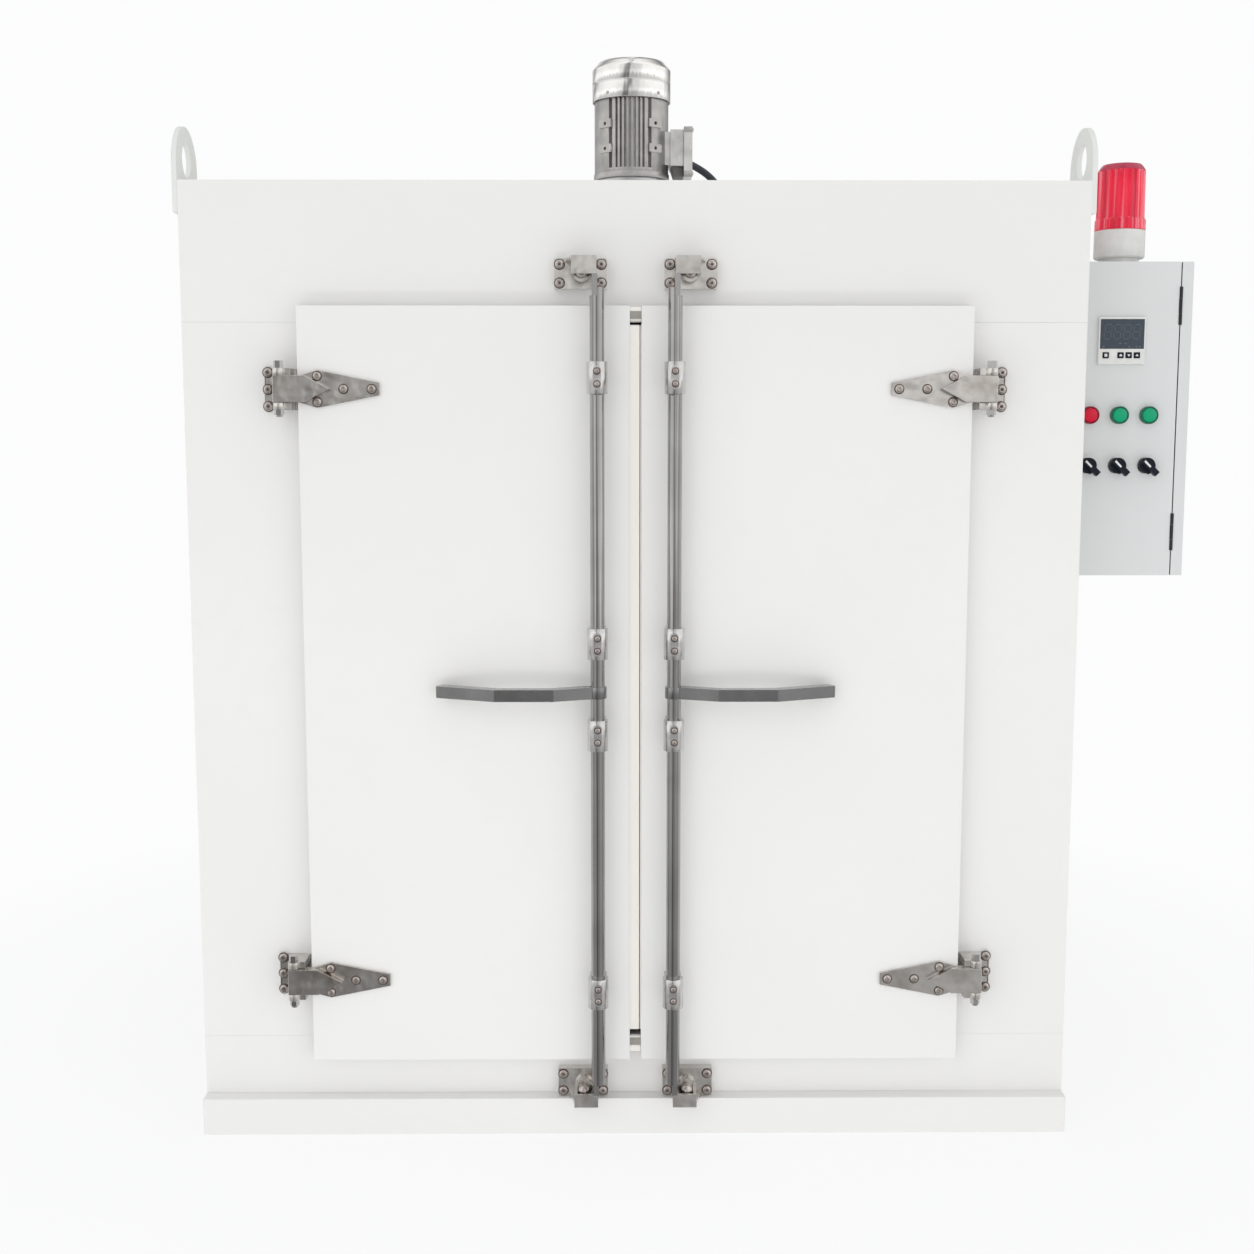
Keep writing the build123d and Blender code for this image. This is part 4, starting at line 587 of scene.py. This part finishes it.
DIGITS = 4
DIGIT_WIDE, DIGIT_HIGH, DIGIT_PITCH = 11.0, 23.0, 15.6
SEGMENT_WIDE = 2.3
DIGIT_SLANT = 1.2
DIGIT_MIDDLE = WINDOW_MIDDLE + 3.5
PRINT_THICK, PRINT_EDGE = 0.1, 0.03
bars = []
for index in range(DIGITS):
    middle = COLUMNS[1] + (index - (DIGITS - 1) / 2) * DIGIT_PITCH
    for dx, dz, upright in SEGMENTS:
        length = DIGIT_HIGH / 2 - 0.8 if upright else DIGIT_WIDE - 1.6
        x = middle + dx * DIGIT_WIDE / 2 + dz * DIGIT_SLANT
        seat = (x, GLASS, DIGIT_MIDDLE + dz * DIGIT_HIGH / 2)
        bar = outline_bar(segment(length, SEGMENT_WIDE), 0, PRINT_THICK, PRINT_EDGE)
        bars.append(moved(bar, seat, FORWARD, 90 if upright else 0))
make("display_digits", bars, "cabinet", "display", digit_unlit)

MARK_PLACES = ((-3.0, -15.5), (5.5, -15.5), (-30.0, -20.5), (12.0, -20.5), (24.0, -20.5), (29.0, -20.5))
mark = outline_bar([(-1.3, -0.5), (1.3, -0.5), (1.3, 0.5), (-1.3, 0.5)], 0, PRINT_THICK, PRINT_EDGE)
marks = [moved(mark, (COLUMNS[1] + dx, GLASS, WINDOW_MIDDLE + dz), FORWARD) for dx, dz in MARK_PLACES]
make("display_marks", marks, "cabinet", "display", mark_dim)

SIGNS = (
    [(-2.3, -2.3), (2.3, -2.3), (2.3, 2.3), (-2.3, 2.3)],
    [(-2.6, -1.0), (-1.0, 1.8), (1.0, 1.8), (2.6, -1.0), (1.1, -1.9), (-1.1, -1.9)],
    [(-2.6, 1.4), (0, -2.2), (2.6, 1.4)],
    [(-2.6, -1.4), (2.6, -1.4), (0, 2.2)],
)
for index, (offset, outline) in enumerate(zip(KEY_OFFSETS, SIGNS), 1):
    seat = (COLUMNS[1] + offset, METER_FACE - KEY_PROUD, KEY_MIDDLE)
    sign = moved(outline_bar(outline, 0, 0.12, 0.04), seat, FORWARD)
    make(f"key_sign_{index}", [sign], f"key_{index}", "light_plastic", mark_white)

# Control box hinges: black sleeves over the knuckles, as painted shade for the dark lines of the hinges

SLEEVE_GAP = 0.1


def sleeves(name, body, *spans):
    """Thin near-black tubes of painted shade over the knuckles of both hinges. Each span is a share of the
    hinge's length.
    """
    tubes = []
    for middle in BOX_HINGE_HEIGHTS:
        for low, high in spans:
            foot = middle + low * BOX_HINGE_LENGTH + SLEEVE_GAP / 2
            length = (high - low) * BOX_HINGE_LENGTH - SLEEVE_GAP
            tube = turned([(2.6, 0), (2.7, 0.1), (2.7, length - 0.1), (2.6, length)], 20)
            tubes.append(moved(tube, (*BOX_HINGE, foot)))
    make(name, tubes, body, "black_plastic", hinge_line_shade)


sleeves("box_hinge_shade_sleeves", "cabinet", (-0.5, -0.2), (0.2, 0.5))
sleeves("box_door_shade_sleeves", "control_box_door", (-0.2, 0.2))

# Beacon: a fluted lens with a ribbed skirt and a darker crown

FLUTES = 20
FLUTE_SIDES = 10
FLUTE_DEPTH = 0.06
SKIRT_RIBS = 36
SKIRT_RADIUS = 40.5


def fluted(depth):
    """Radius factor of a fluted wall."""
    return lambda angle: 1.0 - depth * (0.5 + 0.5 * math.cos(FLUTES * angle))


def shell(outer, inner):
    """A closed turned skin: outer rings of (radius, height, flute depth), then plain inner rings."""
    sides = FLUTES * FLUTE_SIDES
    points, faces = [], []
    for radius, height, depth in outer + [(radius, height, 0.0) for radius, height in inner]:
        points += turned([(radius, height)], sides, fluted(depth))[0]
    rings = len(outer) + len(inner)
    for low in range(rings):
        high = (low + 1) % rings
        for step in range(sides):
            on = (step + 1) % sides
            faces.append((low * sides + step, low * sides + on, high * sides + on, high * sides + step))
    return points, faces


low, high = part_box("beacon_lens")
beacon_foot = ((low.x + high.x) / 2 / MM, (low.y + high.y) / 2 / MM, low.z / MM)
wall = [(41.0, 0.0, 0.0), (41.0, 15.4, 0.0), (40.4, 16.6, 0.0), (39.6, 17.0, 0.0)]
wall += [(39.2, 19.5, FLUTE_DEPTH), (38.9, 60.0, FLUTE_DEPTH), (38.7, 93.0, FLUTE_DEPTH), (38.6, 95.0, 0.0)]
lining = [(36.0, 95.0), (36.2, 19.0), (36.5, 0.0)]
lens_shell = moved(shell(wall, lining), beacon_foot)
beacon = make("beacon_fluted_lens", [lens_shell], "cabinet", "beacon_lens", smooth=50.0)
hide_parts("beacon_lens")
crown = [(38.4, 95.2, 0.0), (37.4, 97.4, 0.0), (34.0, 102.5, 0.0), (31.0, 105.6, 0.0)]
crown += [(29.0, 106.0, 0.0), (CENTRE, 106.0, 0.0)]
under = [(CENTRE, 103.4), (28.5, 103.4), (32.0, 100.0), (35.8, 95.2)]
crown_shell = moved(shell(crown, under), beacon_foot)
make("beacon_crown", [crown_shell], "cabinet", "beacon_lens", beacon_cap, 50.0)
rib = outline_bar([(-0.9, -0.5), (0.9, -0.5), (0.7, 0.5), (-0.7, 0.5)], 1.5, 13.5, 0.3)
ribs = []
for step in range(SKIRT_RIBS):
    turn = step * 360 / SKIRT_RIBS
    angle = math.radians(turn)
    x, y = SKIRT_RADIUS * math.cos(angle), SKIRT_RADIUS * math.sin(angle)
    seat = (beacon_foot[0] + x, beacon_foot[1] + y, beacon_foot[2])
    ribs.append(moved(rib, seat, spin=turn - 90))
make("beacon_skirt_ribs", ribs, "cabinet", "beacon_lens")

# Fan cover: small screws in its side

COVER_RADIUS = 73.1
COVER_SCREWS = (-127.5, -48.0, 35.0, 145.0)
COVER_SCREW_RISE = 9.0
cover_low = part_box("fan_cover")[0].z / MM
heads = []
for angle in COVER_SCREWS:
    way = (math.cos(math.radians(angle)), math.sin(math.radians(angle)), 0.0)
    foot = (way[0] * COVER_RADIUS, way[1] * COVER_RADIUS, cover_low + COVER_SCREW_RISE)
    heads.append(moved(screw_head(3.4, 1.8), foot, way))
make("fan_cover_screws", heads, "cabinet", "stainless_polished", screw_metal)

# Terminal box: corner ears with screws on the lid, and a dark shell around the plug below it, its darkness
# partly painted shade under the box

EAR_HALF_PITCH = 43.0
EAR_HEIGHTS = (MOTOR_FOOT + 8.5, MOTOR_FOOT + 87.5)
EAR_LENGTH = 16.2
ear_profile = [(CENTRE, 0), (5.6, 0), (6.2, 0.8), (6.2, 15.0), (5.4, EAR_LENGTH), (CENTRE, EAR_LENGTH)]
ears, heads = [], []
for y in (-EAR_HALF_PITCH, EAR_HALF_PITCH):
    for z in EAR_HEIGHTS:
        ears.append(moved(turned(ear_profile, 24), (TERMINAL_LID_X, y, z), OUTWARD))
        heads.append(moved(screw_head(3.6, 1.8), (TERMINAL_LID_X + EAR_LENGTH, y, z), OUTWARD))
make("terminal_lid_ears", ears, "cabinet", "cast_aluminium")
make("terminal_lid_screws", heads, "cabinet", "stainless_polished", screw_metal)
# Dark shell on the lower part of the box: partly the plug, partly painted shade of the box's underside
PLUG_HALF = 28.6
plug = [(73.5, 23.0), (79.6, 5.3), (96.9, 5.3), (96.9, 22.7), (90.0, 22.9)]
points, faces = outline_bar([(x, MOTOR_FOOT + z) for x, z in plug], -PLUG_HALF, PLUG_HALF, 0.8)
plug_shape = ([(x, y, z) for x, z, y in points], [face[::-1] for face in faces])
make("terminal_plug_shade_shell", [plug_shape], "cabinet", "black_plastic", plug_dark_and_shade)

# Motor cable: one curve through the points of its route, and a tapered boot at each gland

cable_points = [
    (84.0, 56.0, 1662.0),
    (84.0, 108.0, 1662.0),
    (122.0, 146.0, 1658.0),
    (162.0, 146.0, 1632.0),
    (190.0, 142.0, 1588.0),
    (190.0, 142.0, 1539.0),
]
BOOT_SEATS = (((84.0, 61.8, 1662.0), (0, 1, 0)), ((190.0, 142.0, 1544.8), (0, 0, 1)))
curve = bpy.data.curves.new("motor_cable_run", "CURVE")
curve.dimensions = "3D"
curve.bevel_depth = CABLE_RADIUS * MM
curve.bevel_resolution = 8
curve.resolution_u = 24
spline = curve.splines.new("NURBS")
spline.points.add(len(cable_points) - 1)
for point, (x, y, z) in zip(spline.points, cable_points):
    point.co = (x * MM, y * MM, z * MM, 1.0)
spline.order_u = 3
spline.use_endpoint_u = True
curve.materials.append(materials["black_rubber"])
cable = bpy.data.objects.new("motor_cable_run", curve)
bpy.context.scene.collection.objects.link(cable)
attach(cable, "cabinet")
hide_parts("motor_cable")
boot = [(9.9, 0), (9.9, 3.0), (8.4, 4.0), (8.4, 5.5), (9.4, 6.2), (9.2, 8.5), (8.0, 9.2), (8.0, 10.7)]
boot += [(8.8, 11.4), (8.6, 13.5), (7.6, 14.2), (7.3, 17.0), (7.05, 18.0)]
boots = [moved(turned(boot, 28), seat, way) for seat, way in BOOT_SEATS]
make("cable_boots", boots, "cabinet", "black_rubber")

# Light: a pale room with soft lamps in front and above

PAPER = (0.975, 0.978, 0.978, 1.0)
DAYLIGHT = (0.985, 0.99, 1.0, 1.0)
AMBIENT_LEVEL = 0.675
MIRROR_LEVEL = 1.3
world = bpy.data.worlds.new("room")
bpy.context.scene.world = world
world.use_nodes = True
tree = world.node_tree
tree.nodes.clear()
link = tree.links.new


def fill_ramp(ramp, stops, tint=(1.0, 1.0, 1.0)):
    """Give a colour ramp its stops of (position, level), each level in the given tint."""
    for at, _ in stops[1:-1]:
        ramp.color_ramp.elements.new(at)
    for element, (at, level) in zip(ramp.color_ramp.elements, stops):
        element.position = at
        element.color = (*(level * part for part in tint), 1.0)


def math_node(operation, *values):
    """A math node with the values of its inputs, where None leaves one to be linked."""
    made = add_node(tree, "ShaderNodeMath")
    made.operation = operation
    for socket, value in zip(made.inputs, values):
        if value is not None:
            socket.default_value = value
    return made


def chosen(ray, other, picked):
    """Show the picked shader to one kind of ray and the other shader to the rest."""
    mix = add_node(tree, "ShaderNodeMixShader")
    link(path.outputs[ray], mix.inputs["Fac"])
    link(other, mix.inputs[1])
    link(picked, mix.inputs[2])
    return mix.outputs["Shader"]


path = add_node(tree, "ShaderNodeLightPath")
ambient = add_node(tree, "ShaderNodeBackground", Color=DAYLIGHT, Strength=AMBIENT_LEVEL)
backdrop = add_node(tree, "ShaderNodeBackground", Color=PAPER, Strength=1.0)

# What polished metal mirrors: bright walls, darker at some headings and near the floor
room = add_node(tree, "ShaderNodeBackground")
where = add_node(tree, "ShaderNodeTexCoord")
split = add_node(tree, "ShaderNodeSeparateXYZ")
link(where.outputs["Generated"], split.inputs["Vector"])
ahead = math_node("MULTIPLY", None, -1.0)
link(split.outputs["Y"], ahead.inputs[0])
heading = math_node("ARCTAN2")
link(split.outputs["X"], heading.inputs[0])
link(ahead.outputs["Value"], heading.inputs[1])
around = add_node(tree, "ShaderNodeMapRange", From_Min=-math.pi, From_Max=math.pi)
link(heading.outputs["Value"], around.inputs["Value"])
walls = add_node(tree, "ShaderNodeValToRGB")
stops = ((0.0, 0.75), (0.05, 0.7), (0.10, 0.3), (0.17, 0.9), (0.36, 1.0), (0.425, 0.80))
stops += ((0.45, 0.30), (0.475, 0.24), (0.488, 0.62), (0.56, 0.74), (0.60, 0.96), (0.80, 1.0))
stops += ((0.87, 0.5), (0.92, 0.2), (0.96, 0.7), (1.0, 0.75))
fill_ramp(walls, stops, (1.0, 0.99, 0.975))
link(around.outputs["Result"], walls.inputs["Fac"])
link(walls.outputs["Color"], room.inputs["Color"])
upward = add_node(tree, "ShaderNodeMapRange", From_Min=-1.0)
link(split.outputs["Z"], upward.inputs["Value"])
rise = add_node(tree, "ShaderNodeValToRGB")
levels = ((0.0, 0.26), (0.35, 0.50), (0.46, 0.58), (0.5, 0.84))
levels += ((0.53, 1.0), (0.57, 0.98), (0.61, 0.84), (1.0, 0.85))
fill_ramp(rise, levels)
link(upward.outputs["Result"], rise.inputs["Fac"])
brighter = math_node("MULTIPLY", None, MIRROR_LEVEL)
link(rise.outputs["Color"], brighter.inputs[0])
link(brighter.outputs["Value"], room.inputs["Strength"])

lit = chosen("Is Glossy Ray", ambient.outputs["Background"], room.outputs["Background"])
lit = chosen("Is Transmission Ray", lit, backdrop.outputs["Background"])
lit = chosen("Is Camera Ray", lit, backdrop.outputs["Background"])
out = add_node(tree, "ShaderNodeOutputWorld")
link(lit, out.inputs["Surface"])


def lamp(name, place, target, size, power):
    """A soft rectangular lamp that looks at a target, unseen by the camera and in mirrors."""
    light = bpy.data.lights.new(name, "AREA")
    light.shape = "RECTANGLE"
    light.size, light.size_y = size
    light.energy = power
    thing = bpy.data.objects.new(name, light)
    thing.location = place
    thing.rotation_euler = (Vector(target) - Vector(place)).to_track_quat("-Z", "Y").to_euler()
    thing.visible_glossy = False
    thing.visible_camera = False
    bpy.context.scene.collection.objects.link(thing)


lamp("key", (-2.6, -4.6, 2.8), (0, -0.6, 0.6), (3.0, 3.0), 26)
lamp("fill", (3.4, -4.2, 1.8), (0, -0.6, 0.6), (3.0, 3.0), 16)
lamp("low", (0, -2.1, 0.3), (0, -0.6, 0.25), (2.8, 0.3), 4.2)
lamp("overhead", (0, -0.5, 4.6), (0, -0.2, 0), (4.0, 4.0), 32)

# A pale floor that keeps the shadow near the object and turns into the backdrop further out

FLOOR_REACH = 14.0
FADE_SPAN = (0.9, 1.8)
LEAST_SHARE = 0.82
floor_mesh = bpy.data.meshes.new("floor")
corners = [(x * FLOOR_REACH, y * FLOOR_REACH, 0) for x, y in ((-1, -1), (1, -1), (1, 1), (-1, 1))]
floor_mesh.from_pydata(corners, [], [(0, 1, 2, 3)])
floor = bpy.data.objects.new("floor", floor_mesh)
floor_finish = Shader("floor_finish", (0.95, 0.95, 0.95), 0.9)
floor_finish.rough(floor_finish.noise(2.0), 0.85, 0.95)
distance = add_node(floor_finish.tree, "ShaderNodeVectorMath")
distance.operation = "LENGTH"
floor_finish.link(floor_finish.coords.outputs["Object"], distance.inputs[0])
share = floor_finish.ranged(distance.outputs["Value"], LEAST_SHARE, 1.0, *FADE_SPAN)
paper = add_node(floor_finish.tree, "ShaderNodeEmission", Color=PAPER)
fade = add_node(floor_finish.tree, "ShaderNodeMixShader")
floor_finish.link(share, fade.inputs["Fac"])
floor_finish.link(floor_finish.out.outputs["BSDF"], fade.inputs[1])
floor_finish.link(paper.outputs["Emission"], fade.inputs[2])
floor_finish.link(fade.outputs["Shader"], floor_finish.tree.nodes["Material Output"].inputs["Surface"])
floor_mesh.materials.append(floor_finish.material)
floor.visible_glossy = False
bpy.context.scene.collection.objects.link(floor)

# The camera in the photograph's place

camera_data = bpy.data.cameras.new("camera")
camera_data.sensor_fit = "HORIZONTAL"
camera_data.sensor_width = 36.0
camera_data.lens = 45.93
camera_data.clip_end = 100.0
camera = bpy.data.objects.new("camera", camera_data)
camera.location = (-0.0327, -3.110, 1.135)
camera.rotation_euler = (math.radians(83.0), 0.0, math.radians(-0.447))
bpy.context.scene.collection.objects.link(camera)
bpy.context.scene.camera = camera
bpy.context.scene.view_settings.view_transform = "Standard"
